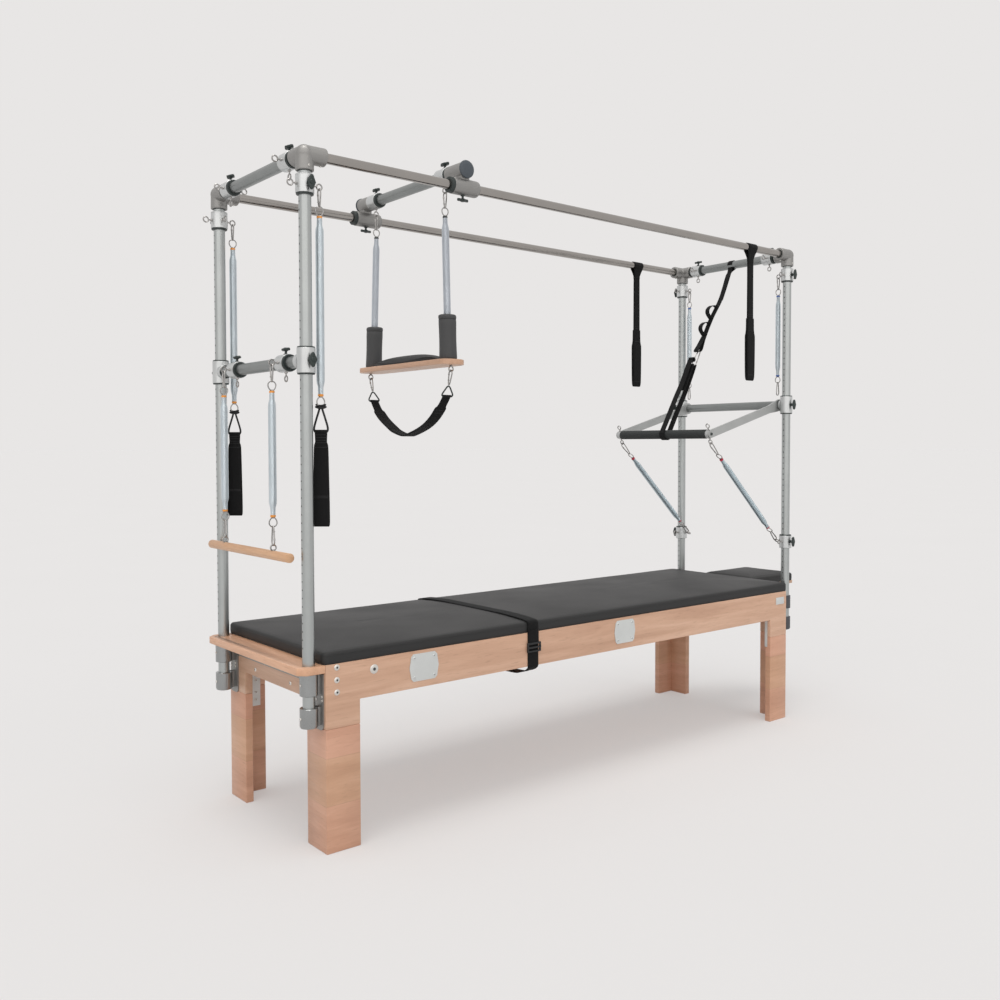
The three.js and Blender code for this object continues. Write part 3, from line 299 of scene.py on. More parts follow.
def cast_form(obj):
    """Melts the crossing forms of a casting into one skin with small fillets."""
    materials = list(obj.data.materials)
    remesh = obj.modifiers.new("melt", "REMESH")
    remesh.mode = "VOXEL"
    remesh.voxel_size = 1.5 / 1000
    relax = obj.modifiers.new("relax", "SMOOTH")
    relax.iterations = 7
    relax.factor = 0.5
    applied(obj)
    obj.data.materials.clear()
    for material in materials:
        obj.data.materials.append(material)
    obj.data.shade_smooth()


# Materials
class Nodes:
    """A material and short calls to build its node tree."""

    def __init__(self, name):
        self.material = bpy.data.materials.new(name)
        self.material.use_nodes = True
        self.tree = self.material.node_tree
        self.tree.nodes.clear()
        self.out = self.node("ShaderNodeOutputMaterial")
        self.shader = self.node("ShaderNodeBsdfPrincipled")
        self.link(self.shader.outputs[0], self.out.inputs[0])
        self.coords = self.node("ShaderNodeTexCoord").outputs["Object"]

    def node(self, kind, **values):
        node = self.tree.nodes.new(kind)
        for key, value in values.items():
            setattr(node, key, value)
        return node

    def link(self, a, b):
        self.tree.links.new(a, b)

    def feed(self, socket, value):
        if hasattr(value, "is_output"):
            self.link(value, socket)
        else:
            socket.default_value = value

    def put(self, node, **sockets):
        for key, value in sockets.items():
            self.feed(node.inputs[key.replace("_", " ")], value)

    def scaled(self, x, y, z):
        mapping = self.node("ShaderNodeMapping")
        self.put(mapping, Vector=self.coords, Scale=(x, y, z))
        return mapping.outputs[0]

    def noise(self, vector, scale, detail=3.0, rough=0.5, distortion=0.0):
        node = self.node("ShaderNodeTexNoise")
        self.put(node, Vector=vector, Scale=scale, Detail=detail, Roughness=rough, Distortion=distortion)
        return node.outputs["Fac"]

    def ramp(self, value, stops):
        node = self.node("ShaderNodeValToRGB")
        elements = node.color_ramp.elements
        while len(elements) < len(stops):
            elements.new(0.5)
        for element, (place, colour) in zip(elements, stops):
            element.position = place
            element.color = (*colour, 1)
        self.link(value, node.inputs[0])
        return node.outputs[0]

    def range(self, value, low, high, to_low, to_high):
        node = self.node("ShaderNodeMapRange")
        self.link(value, node.inputs[0])
        for i, number in enumerate((low, high, to_low, to_high)):
            node.inputs[i + 1].default_value = number
        return node.outputs[0]

    def math(self, operation, a, b=0.5):
        node = self.node("ShaderNodeMath", operation=operation)
        for socket, value in zip(node.inputs, (a, b)):
            self.feed(socket, value)
        return node.outputs[0]

    def mix(self, factor, a, b):
        node = self.node("ShaderNodeMix", data_type="RGBA")
        for index, value in ((0, factor), (6, a), (7, b)):
            self.feed(node.inputs[index], (*value, 1) if isinstance(value, tuple) else value)
        return node.outputs[2]

    def bump(self, height, strength, distance):
        node = self.node("ShaderNodeBump")
        self.put(node, Strength=strength, Distance=distance, Height=height)
        self.link(node.outputs[0], self.shader.inputs["Normal"])


def beech(name, grain, tint=(1, 1, 1), blocks=None):
    """Steamed beech. grain is the axes the fibres run along, blocks the axis and pitch of glued staves."""
    tinted = lambda *colour: tuple(c * t for c, t in zip(colour, tint))
    n = Nodes(name)
    stretch = {"x": (1.2, 16, 16), "y": (16, 1.2, 16), "xy": (1.8, 1.8, 15)}[grain]
    fleck = {"x": (22, 260, 260), "y": (260, 22, 260), "xy": (26, 26, 260)}[grain]
    broad = n.noise(n.scaled(*stretch), 1.4, 4, 0.55, 0.6)
    fine = n.noise(n.scaled(*[v * 4 for v in stretch]), 2.0, 3, 0.6)
    pores = n.noise(n.scaled(*fleck), 1.0, 2, 0.5)
    base = n.ramp(broad, [(0.25, tinted(0.46, 0.275, 0.180)), (0.5, tinted(0.56, 0.355, 0.240)),
                          (0.75, tinted(0.66, 0.445, 0.315))])
    base = n.mix(n.range(fine, 0.35, 0.7, 0.0, 0.30), base, tinted(0.47, 0.285, 0.19))
    base = n.mix(n.range(pores, 0.60, 0.72, 0.0, 0.30), base, (0.33, 0.19, 0.12))
    if blocks:
        axis, pitch = blocks
        split = n.node("ShaderNodeSeparateXYZ")
        n.link(n.coords, split.inputs[0])
        place = split.outputs["xyz".index(axis)]
        cell = n.math("DIVIDE", place, pitch)
        stave = n.math("FLOOR", cell, 0.0)
        tone = n.node("ShaderNodeTexWhiteNoise", noise_dimensions="1D")
        n.link(stave, tone.inputs["W"])
        base = n.mix(n.range(tone.outputs["Value"], 0.5, 1, 0.0, 0.40), base, (0.66, 0.35, 0.25))
        base = n.mix(n.range(tone.outputs["Value"], 0, 0.5, 0.40, 0.0), base, (0.56, 0.36, 0.20))
        part = n.math("FRACT", cell, 0.0)
        line = n.math("GREATER_THAN", n.math("ABSOLUTE", n.math("SUBTRACT", part, 0.5), 0.0), 0.494)
        base = n.mix(n.math("MULTIPLY", line, 0.22), base, (0.24, 0.13, 0.08))
    n.put(n.shader, Base_Color=base, Roughness=n.range(fine, 0.3, 0.7, 0.34, 0.48))
    n.put(n.shader, Specular_IOR_Level=0.42, Coat_Weight=0.12, Coat_Roughness=0.3)
    n.bump(n.math("ADD", fine, pores), 0.10, 0.0004)
    return n.material


def vinyl(name, tone):
    """Matt upholstery vinyl with a fine pebbled grain."""
    n = Nodes(name)
    cells = n.node("ShaderNodeTexVoronoi", feature="F1")
    n.put(cells, Vector=n.scaled(1, 1, 1), Scale=620.0)
    soft = n.noise(n.scaled(1, 1, 1), 3.0, 3)
    dark, pale = (tone, tone, tone * 1.01), (tone * 1.28, tone * 1.28, tone * 1.3)
    base = n.mix(n.range(soft, 0.3, 0.7, 0.0, 0.35), dark, pale)
    n.put(n.shader, Base_Color=base, Roughness=n.range(soft, 0.3, 0.7, 0.50, 0.62), Specular_IOR_Level=0.3)
    n.bump(cells.outputs["Distance"], 0.22, 0.0005)
    return n.material


def webbing(name, along):
    """Woven webbing: ribs across the run and a finer yarn along it."""
    tone = 0.007
    n = Nodes(name)
    ribs = n.node("ShaderNodeTexWave", wave_type="BANDS", bands_direction=along.upper())
    n.put(ribs, Vector=n.scaled(1, 1, 1), Scale=210.0, Distortion=1.2, Detail=1.0)
    yarn = n.noise(n.scaled(1, 1, 1), 900.0, 2)
    base = n.mix(n.range(ribs.outputs["Fac"], 0, 1, 0.0, 0.55), (tone, tone, tone * 1.05), (tone * 2.6,) * 3)
    n.put(n.shader, Base_Color=base, Roughness=0.86, Specular_IOR_Level=0.14)
    n.put(n.shader, Sheen_Weight=0.04, Sheen_Roughness=0.5)
    n.bump(n.math("ADD", ribs.outputs["Fac"], n.math("MULTIPLY", yarn, 0.6)), 0.45, 0.0006)
    return n.material


def metal(name, colour, rough, brushed=None, metallic=1.0, speck=0.0):
    """Bare or anodised metal. brushed is the axis of its drawn lines."""
    n = Nodes(name)
    if brushed:
        stretch = {"x": (4, 900, 900), "y": (900, 4, 900), "z": (900, 900, 4)}[brushed]
        lines = n.noise(n.scaled(*stretch), 1.0, 3, 0.6)
    else:
        lines = n.noise(n.scaled(1, 1, 1), 420.0, 3, 0.6)
    cloud = n.noise(n.scaled(1, 1, 1), 9.0, 3, 0.6)
    dark = tuple(c * 0.86 for c in colour)
    base = n.mix(n.range(cloud, 0.35, 0.7, 0.0, 0.5), colour, dark)
    if speck:
        base = n.mix(n.range(lines, 0.55, 0.75, 0.0, speck), base, tuple(c * 0.5 for c in colour))
    n.put(n.shader, Base_Color=base, Metallic=metallic)
    n.put(n.shader, Roughness=n.range(lines, 0.25, 0.75, rough * 0.82, rough * 1.2))
    n.bump(lines, 0.06 if brushed else 0.16, 0.0003)
    return n.material


def plastic(name, colour, rough=0.45, grain=300.0, depth=0.10):
    """Moulded plastic, foam or thread, told apart by the size and depth of its grain."""
    n = Nodes(name)
    speck = n.noise(n.scaled(1, 1, 1), grain, 3, 0.6)
    base = n.mix(n.range(speck, 0.35, 0.7, 0.0, 0.5), colour, tuple(c * 1.5 for c in colour))
    n.put(n.shader, Base_Color=base, Roughness=n.range(speck, 0.3, 0.7, rough * 0.85, rough * 1.15))
    n.bump(speck, depth, 0.0004)
    return n.material


M = {
    "rail": beech("beech_rail", "x", (1.16, 1.13, 1.14)),
    "end": beech("beech_end", "y"),
    "board": beech("beech_board", "y", (1.20, 1.06, 0.96)),
    "leg": beech("beech_leg", "xy", (1.15, 1.02, 1.0), ("z", 0.148)),
    "seat": beech("beech_seat", "y", (1.12, 1.08, 1.06)),
    "dowel": beech("beech_dowel", "y", (1.12, 1.02, 0.84)),
    "vinyl": vinyl("vinyl_charcoal", 0.027),
    "sleeve": vinyl("vinyl_sleeve", 0.066),
    "welt": vinyl("vinyl_welt", 0.026),
    "web_y": webbing("webbing_run_y", "y"),
    "web_z": webbing("webbing_run_z", "z"),
    "thread": plastic("thread_black", (0.03, 0.03, 0.032), 0.7, 900.0, 0.3),
    "satin": metal("anodised_satin", (0.452, 0.474, 0.47), 0.34, "z"),
    # Darker copy of the satin anodising for the tubes that run along Y. Its lower tone is painted shade for
    # how these tubes face the light; the brushing along Y is real.
    "satin_y_shaded": metal("anodised_satin_across_shaded", (0.29, 0.305, 0.302), 0.38, "y"),
    "collar": metal("collar_satin", (0.62, 0.635, 0.635), 0.36),
    "stainless": metal("stainless_polished", (0.37, 0.35, 0.33), 0.18, "x"),
    "cast": metal("cast_grey", (0.33, 0.325, 0.315), 0.46, None, 0.75, 0.25),
    "steel": metal("bracket_steel", (0.36, 0.37, 0.37), 0.30),
    # Near-black copy of the bracket metal for the right bracket's cups and sleeves: painted shade for their
    # side turned from the light.
    "cast_shaded": metal("cast_painted_shade", (0.085, 0.088, 0.098), 0.5, None, 0.3, 0.25),
    "plate": metal("plate_zinc", (0.68, 0.70, 0.69), 0.45, None, 0.4, 0.10),
    "chrome": metal("chrome_wire", (0.40, 0.39, 0.38), 0.16),
    "coil": metal("zinc_coil", (0.74, 0.81, 0.85), 0.33),
    "coil_dark": metal("zinc_coil_dark", (0.46, 0.54, 0.58), 0.33),
    "coil_pale": metal("zinc_coil_pale", (0.64, 0.68, 0.73), 0.36),
    "bush": plastic("bush_dark", (0.022, 0.030, 0.029), 0.5),
    "black": plastic("moulded_black", (0.018, 0.028, 0.026), 0.42),
    "buckle": plastic("buckle_black", (0.009, 0.010, 0.011), 0.5),
    "cap": plastic("cap_slate", (0.060, 0.072, 0.085), 0.5),
    "foam": plastic("foam_charcoal", (0.030, 0.033, 0.033), 0.9, 700.0, 0.6),
    "lug": metal("lug_grey", (0.50, 0.51, 0.51), 0.42, None, 0.6),
    "arm": metal("arm_grey", (0.47, 0.48, 0.475), 0.46, "x", 0.7),
    "orange": plastic("tip_orange", (0.78, 0.30, 0.045), 0.4),
    "blue": plastic("tip_blue", (0.05, 0.11, 0.35), 0.4),
    "red": plastic("tip_red", (0.42, 0.02, 0.05), 0.4),
    "dark": plastic("tip_dark", (0.03, 0.035, 0.035), 0.5),
    # Flat dark discs laid where a hole or a hex socket is: painted shade for the recess.
    "hole": plastic("hole_painted_shade", (0.05, 0.052, 0.052), 0.8),
    "screw": metal("screw_zinc", (0.74, 0.72, 0.68), 0.34),
    "rope": plastic("rope_black", (0.012, 0.012, 0.013), 0.75, 900.0, 0.5),
}


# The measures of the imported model, in millimetres
SIDES = (("front", -1), ("back", 1))
ENDS = (("left", -1), ("right", 1))
POST_X, POST_Y, POST_R = 1219.0, 316.0, 19.0
POST_FOOT = {"left": 401.3, "right": 409.3}
BRACKET = {"left": (393, 456, 494, 560.6), "right": (400, 461, 500, 559)}
RAIL_Z, RAIL_R = 2129.0, 16.0
BED_HALF, BED_SIDE, BED_TOP = 1180.0, 351.0, 585.5
MAT_BASE = BED_TOP + 0.3
MATTRESS_LOW, MATTRESS_HIGH, MATTRESS_EDGE, MATTRESS_CROWN = (-1186, -350), (1190, 350), 38, 49
END_PAD_LOW, END_PAD_HIGH, LIP_X = (1194, -148), (1526, 148), (1487.5, 1523)
EYE, EYE_R, EYE_WIRE = 48.0, 9.0, 2.4
COLLAR_R, COLLAR_HALF = 28.0, 31.0
UPPER_Z, LOWER_Z = 2038.0, 811.0
TROLLEY_X, TROLLEY_Z = -632.0, 2185.0
CLAMP_Y, STUD_Y, SLING_EYE_Y = (-213.0, 238.0), (-229.0, 262.0), (-245.0, 285.0)
BOARD_TOP, BOARD_THICK = 1553.0, 19.0
MID_Z, MID_Y = 1512.0, (-183.0, 179.0)
ROLL_X, ROLL_Z, ROLL_R = -1267.0, 915.0, 14.5
PUSH_Z, GRIP = 1443.0, V(725, 0, 1305)
ARM_Y, ARM_THICK = 276.0, 10.0
LINK_WIRE, RING_R, RING_WIRE, RING_DROP = 2.4, 15.0, 2.0, 73.0
HANG = 4.05
ARM_WAY = unit(GRIP - V(POST_X, 0, PUSH_Z))
ARM_DOWN = V(-ARM_WAY[2], 0, ARM_WAY[0])
LUG_HOOK = GRIP + ARM_DOWN * (36 + EYE_R)
PUSH_WAY = unit(LUG_HOOK - V(POST_X, 0, LOWER_Z))


def body_of_node(node):
    return frame["nodes"][node]["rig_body"]


def extra(obj, body):
    """The piece moves with the body."""
    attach(obj, body)


def dress(obj, node):
    """The piece moves with the CAD node that it stands for."""
    extra(obj, body_of_node(node))
    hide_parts(node)


# Hardware
def eyebolt(s, at, way, normal, surface, reach=EYE):
    """A stem and nut from the surface to a wire eye, flat in the plane square to the normal."""
    centre = at + way * reach
    rod(s, at + way * (surface - 1.5), at + way * (reach - EYE_R), 2.3, 12, "chrome")
    nut = [(0, 0), (5.6, 0), (5.6, 2.8), (3.4, 4.4), (0, 4.4)]
    lathe(s, nut, at + way * (surface - 0.6), way, 6, "chrome")
    cross = np.cross(normal, way)
    turn = turns(28)
    loop = centre + EYE_R * (np.outer(np.cos(turn), way) + np.outer(np.sin(turn), cross))
    wire(s, loop, EYE_WIRE, True, 10, "chrome", normal)


def wing_knob(s, surface, way, along):
    """A clamping knob on a stem: a broad diamond seen along its stem, a bow-tie seen from beside."""
    across = np.cross(way, along)
    stem = [(0, -1), (7.2, -1), (7.2, 1.4), (4.0, 2.2), (4.0, 12), (0, 12)]
    hub = [(0, 10), (6.4, 10), (7.0, 11), (7.0, 19.4), (5.6, 20.8), (2.6, 21), (0, 20.4)]
    lathe(s, stem, surface, way, 20, "black")
    lathe(s, hub, surface, way, 24, "black")
    reach, seg = 23, 14
    places = np.sin(np.linspace(-PI / 2, PI / 2, 25)) * reach
    angles = turns(seg)
    rings = []
    for place in places:
        share = abs(place) / reach
        tip = max(1 - share ** 10, 0) ** 0.5
        half = max((11.5 * (1 - share) ** 0.9 + 3.4) * tip, 0.05)
        thick = max((3.2 + 2.6 * share ** 1.5) * tip, 0.05)
        middle = surface + way * 15.4 + along * place
        bulge = np.sign(np.cos(angles)) * np.abs(np.cos(angles)) ** 0.9
        rise = np.sign(np.sin(angles)) * np.abs(np.sin(angles)) ** 0.8
        rings.append(middle + np.outer(bulge * half, across) + np.outer(rise * thick, way))
    s.add(np.vstack(rings), grid(len(places), seg), "black")


def collar(s, at, along, knob_way, eyes, bore, bush=-1, thick_bush=6.0):
    """A clamp collar: a turned sleeve with a dark bush ring at one end, a thin one at the other."""
    way = along * -bush
    h, r = COLLAR_HALF, COLLAR_R
    lathe(s, [(bore, thick_bush - h), (r - 0.8, thick_bush - h), (r, thick_bush - h + 0.8), (r, h - 6.2),
              (r - 0.5, h - 6), (r - 0.5, h - 5.6), (r, h - 5.4), (r, h - 2.2), (r - 1, h - 1.2),
              (bore, h - 1.2)], at, way, 48, "collar", ring=True)
    lathe(s, [(bore, -h), (r - 2.6, -h), (r - 1.6, 1 - h), (r - 1.6, thick_bush - h), (bore, thick_bush - h)],
          at, way, 48, "bush", ring=True)
    lathe(s, [(bore, h - 1.2), (r - 3.4, h - 1.2), (r - 4, h), (bore, h)], at, way, 48, "bush", ring=True)
    wing_knob(s, at + knob_way * r, knob_way, along)
    for eye_way, normal in eyes:
        eyebolt(s, at, eye_way, normal, r)


def carabiner(s, start, end, normal, half=8.5):
    """A pear-shaped snap link, narrow at its start and broad at its end, with a gate on one side."""
    along = unit(end - start)
    across = np.cross(along, normal)
    length = np.linalg.norm(end - start)
    right = [(0.62, 0.97), (1.0, 0.85), (0.98, 0.68), (0.76, 0.38), (0.54, 0.14), (0.32, 0.03)]
    shares = [(0.0, 1)] + right + [(0.0, 0)] + [(-a, b) for a, b in right[::-1]]
    corners = np.array([start + across * half * a + along * length * b for a, b in shares])
    ring = np.vstack([corners[-2:], corners, corners[:3]])
    fine = smooth_path(ring, (len(ring) - 1) * 4 + 1)[8:8 + len(corners) * 4]
    wire(s, fine, LINK_WIRE, True, 10, "chrome", normal)
    hinge = start + across * half * 0.66 + along * length * 0.28
    nose = start + across * half * 0.97 + along * length * 0.72
    gate = unit(nose - hinge)
    rod(s, hinge - normal * 3.1, hinge + normal * 3.1, 1.9, 10, "chrome")
    rod(s, nose - gate * 5, nose + gate, LINK_WIRE + 0.7, 12, "chrome")


def spring_ring(s, centre, normal, neck):
    """The wire ring at a spring's end, drawn to a neck towards the coil."""
    across = np.cross(normal, neck)
    turn = turns(36)
    narrow = np.abs(np.sin(turn / 2)) ** 0.45
    loop = centre + RING_R * (np.outer(np.cos(turn), neck) + np.outer(np.sin(turn) * narrow, across))
    wire(s, loop, RING_WIRE, True, 10, "chrome", normal)


def tip_cap(s, at, way, key):
    """The short coloured disc at a spring's narrow end, with the wire neck that runs to its ring."""
    rod(s, at - way * 5, at, 2.2, 12, "chrome")
    lathe(s, [(0, -0.6), (7.6, -0.6), (8.5, 0.3), (8.5, 5.0), (7.6, 5.9), (0, 5.9)], at, way, 28, key)


def coil_points(low, high, radius, wire_r):
    """Close-wound turns from low to high, with a narrow neck and a quick flare at both ends."""
    length = np.linalg.norm(high - low)
    way = (high - low) / length
    side, up = square_to(way)
    steps, wound = 12, int(length / (2 * wire_r * 1.03))
    t = np.linspace(0, 1, wound * steps + 1)
    far = np.minimum(t, 1 - t) * length
    share = np.interp(far, [0, 4, 24, 38, 46], [0.56, 0.62, 0.65, 0.95, 1.0])
    reach = (radius - wire_r) * share
    angle = 2 * PI * wound * t
    return (low + np.outer(t * length, way)
            + np.outer(np.cos(angle) * reach, side) + np.outer(np.sin(angle) * reach, up))


def coil_spring(name, node, low, high, radius, upper, lower=None, wire_r=1.35, key="coil"):
    """The coil itself, as one wire, carried by the upper body, or left in place with its transform baked
    where lower is given.
    """
    s = Shell()
    way = unit(high - low)
    wire(s, coil_points(low + way * 2, high - way * 2, radius, wire_r), wire_r, False, 6, key)
    obj = s.make(name, angle=80, outward=False)
    if lower is None:
        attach(obj, upper)
    else:
        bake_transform(obj)
    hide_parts(node)


def hand_loop(s, centre, across, normal, table, count, thickness, edge=0.35):
    """A flattened loop of padded webbing. Gives a function that tells its half gap at a height."""
    heights, gaps, widths = np.array(table, float).T
    down = [centre + Z * h - normal * g for h, g in zip(heights, gaps)]
    up = [centre + Z * h + normal * g for h, g in zip(heights[::-1][1:], gaps[::-1][1:])]
    both = np.concatenate([widths, widths[::-1][1:]])
    width = np.interp(np.linspace(0, 1, count), np.linspace(0, 1, len(both)), both)
    ribbon(s, smooth_path(down + up, count), width, thickness, across, edge=edge)
    return lambda h: np.interp(h, heights[::-1], gaps[::-1])


def stitches(s, at, across, normal, half, offset, radius=0.55):
    """A line of thread across both faces of a piece of webbing."""
    for face in (-1, 1):
        seam = [at + across * a + normal * face * offset for a in (-half, 0, half)]
        wire(s, seam, radius, False, 5, "thread")


def hanger(s, x, y, eye_z, normal, key):
    """Snap link, ring and cap at the top of a hanging spring."""
    ring_z = eye_z - RING_DROP
    carabiner(s, V(x, y, ring_z + RING_R - 1), V(x, y, eye_z - EYE_R + HANG), normal)
    spring_ring(s, V(x, y, ring_z), Y if abs(normal[0]) > 0.5 else X, -Z)
    tip_cap(s, V(x, y, ring_z - RING_R), -Z, key)
    return ring_z - RING_R


# Beech bed
def wood_nodes():
    """The rigid beech nodes stay as they are, welded, with their edges eased."""
    looks = {"side_rail": "rail", "end_rail": "end", "deck_panel": "board", "leg_": "leg",
             "end_board": "board", "end_pad_board": "end"}
    for name, obj in frame["nodes"].items():
        match = [key for key in looks if name.startswith(key)]
        if not match:
            continue
        weld = obj.modifiers.new("weld", "WELD")
        weld.merge_threshold = 0.00002
        bevel = obj.modifiers.new("edges", "BEVEL")
        bevel.width = (2.4 if name.startswith(("leg_", "side_", "end_b")) else 1.2) / 1000
        bevel.segments = 3
        bevel.limit_method = "ANGLE"
        bevel.angle_limit = math.radians(30)
        obj.data.materials.clear()
        obj.data.materials.append(M[looks[max(match, key=len)]])
        obj.data.shade_smooth()
        obj.data.set_sharp_from_angle(angle=math.radians(30))


def screw(s, at, way, radius, key="screw"):
    """A domed screw head with a hex socket, which is a flat dark disc of painted shade on the dome."""
    head = [(0, 0), (radius, 0), (radius, 0.8), (radius * 0.8, 2.2), (radius * 0.5, 2.7), (0, 2.7)]
    socket = [(0, 0), (radius * 0.38, 0), (radius * 0.38, 0.25), (0, 0.25)]
    lathe(s, head, at, way, 20, key)
    lathe(s, socket, at + way * 2.6, way, 6, "hole")


def bed_fittings():
    """Cover plates and a small plate on the side rails, bolt heads, and joint plates inside the legs."""
    s = Shell()
    half, high, cut = 57, 45, 15
    corner = [(half - cut, high), (half - cut * 0.4, high - cut * 0.6), (half - 3.5, high - cut * 1.7)]
    bow = corner + [(half, 0)] + [(a, -b) for a, b in corner[::-1]]
    plate_z, plate_thick, small_thick = 531, 2.2, 1.8
    for sy in (-1, 1):
        face = sy * (BED_SIDE + 0.3)
        near, far = sorted((face, face + sy * plate_thick))
        for x in (-821, 119):
            outline = [(x + a, plate_z + b) for a, b in bow + [(-a, -b) for a, b in bow]]
            prism(s, outline, near, far, "y", "plate")
            for a in (-39, 39):
                for b in (-32, 32):
                    screw(s, V(x + a, face + sy * plate_thick, plate_z + b), Y * sy, 4.6, "plate")
        near, far = sorted((face, face + sy * small_thick))
        block(s, V(1101, near, 530), V(1161, far, 562), "plate", 0.6)
        for x, z in ((-1142, 574), (-1142, 535), (-1142, 497), (-1010, 550)):
            screw(s, V(x, face - sy * 0.3, z), Y * sy, 15.0 if x == -1010 else 9.6)
    for y, z in ((144, 488), (-117, 489)):
        screw(s, V(-BED_HALF, y, z), -X, 7.0)
    s.extra("bed_fittings", "table", "buckle", angle=30)
    s = Shell()
    for _, sx in ENDS:
        for _, sy in SIDES:
            x0 = sx * (BED_HALF - 27.5)
            y0 = sy * (BED_SIDE - 27.5)
            low = V(min(x0, x0 - sx * 71), min(y0, y0 - sy * 3), 313)
            high = V(max(x0, x0 - sx * 71), max(y0, y0 - sy * 3), 440)
            block(s, low, high, "plate", 0.5)
            for z in (335, 362, 405, 425):
                screw(s, V(x0 - sx * 55, y0 - sy * 3, z), -Y * sy, 4.6)
    block(s, V(1057.2, -336, 341), V(1060.4, -323, 462), "plate", 0.4)
    s.extra("joint_plates", "table", "cast", angle=30)


# Upholstery
def cushion_mesh(low, high, base, edge_height, crown, corner, draw_in, step):
    """A closed cushion: flat below, gently swollen sides, a soft rounded shoulder and a crowned top."""
    shoulder = 10.0
    half = np.array([(high[0] - low[0]) / 2, (high[1] - low[1]) / 2])
    centre = np.array([(high[0] + low[0]) / 2, (high[1] + low[1]) / 2])
    outline, normals = [], []
    for i, (sx, sy) in enumerate(((1, 1), (-1, 1), (-1, -1), (1, -1))):
        c = np.array([sx * (half[0] - corner), sy * (half[1] - corner)])
        for share in np.linspace(0, 1, 9):
            angle = (i + share) * PI / 2
            n = np.array([math.cos(angle), math.sin(angle)])
            outline.append(c + corner * n)
            normals.append(n)
        nx, ny = ((-1, 1), (-1, -1), (1, -1), (1, 1))[i]
        target = np.array([nx * (half[0] - corner), ny * (half[1] - corner)]) + corner * n
        start = outline[-1]
        count = max(int(np.linalg.norm(target - start) / step), 3)
        for share in np.linspace(0, 1, count + 1)[1:-1]:
            pull = draw_in * (1 - (2 * share - 1) ** 2) ** 0.6
            outline.append(start + (target - start) * share - n * pull)
            normals.append(n)
    outline, normals = np.array(outline), np.array(normals)
    count = len(outline)
    spine = max(half[0] - half[1], 0)
    rise = crown - edge_height
    wall_top = edge_height - shoulder
    sides = [(0.0, -4.0), (0.05, -1.8), (0.14, -0.5), (0.35, 0.5), (0.6, 0.7), (0.85, 0.3), (1.0, 0.0)]
    rows = [np.column_stack([outline + normals * out, np.full(count, base + wall_top * share)])
            for share, out in sides]
    for angle in np.radians((18, 36, 54, 72, 90)):
        inward, up = shoulder * (1 - math.cos(angle)), shoulder * math.sin(angle)
        rows.append(np.column_stack([outline - normals * inward, np.full(count, base + wall_top + up)]))
    first = 2 * shoulder / half.min()
    for inset in np.concatenate([[first * 0.75, first], np.linspace(first + 0.04, 0.97, 13)]):
        to = np.column_stack([np.clip(outline[:, 0], -spine, spine), np.zeros(count)])
        place = outline + (to - outline) * inset
        lift = edge_height + rise * (1 - (1 - inset) ** 3.2)
        rows.append(np.column_stack([place, np.full(count, base + lift)]))
    for row in rows:
        row[:, :2] += centre
    return np.array(rows)


def fan(row, middle, flip=False):
    """Triangles from each edge of a ring of points to the middle point."""
    pairs = zip(row, row[1:] + row[:1])
    return [[b, a, middle] if flip else [a, b, middle] for a, b in pairs]


def cushion(name, node, low, high, edge_height, crown, corner, draw_in, step=14.0):
    base = MAT_BASE
    rows = cushion_mesh(low, high, base, edge_height, crown, corner, draw_in, step)
    n_rows, count = rows.shape[:2]
    rng = np.random.default_rng(7)
    waves = [(rng.uniform(0.008, 0.03, 2), rng.uniform(0, 2 * PI)) for _ in range(7)]
    flat = rows.reshape(-1, 3)
    soft = np.zeros(len(flat))
    for (kx, ky), phase in waves:
        soft += np.sin(flat[:, 0] * kx + flat[:, 1] * ky * 1.4 + phase)
    # Slight unevenness of the padding, on the top alone
    wrinkle = 0.2
    top = flat[:, 2] > base + edge_height * 0.98
    flat[top, 2] += soft[top] * wrinkle / 3 - wrinkle
    s = Shell("vinyl")
    size = len(flat)
    verts = np.vstack([flat, flat[-count:].mean(0), flat[:count].mean(0)])
    caps = fan(list(range(size - count, size)), size) + fan(list(range(count)), size + 1, True)
    s.add(verts, grid(n_rows, count, capped=False) + caps)
    # A welt along the lower seam and a finer one at the shoulder
    wire(s, rows[1], 1.5, True, 6, "welt")
    wire(s, rows[6], 0.8, True, 6, "vinyl")
    s.dress(name, node, "upholstery", 0.8, angle=70)


def upholstery():
    edge, crown = MATTRESS_EDGE, MATTRESS_CROWN
    cushion("mattress_cushion", "mattress", MATTRESS_LOW, MATTRESS_HIGH, edge, crown, 19, 2.5)
    cushion("end_pad_cushion", "end_pad", END_PAD_LOW, END_PAD_HIGH, 36, 48, 20, 3, 9)
    s = Shell("end")
    block(s, V(LIP_X[0], -145, 570.5), V(LIP_X[1], 145, 585.3), "end", 1.2)
    s.extra("end_pad_lip", "end_pad_slide", "beech", angle=30)


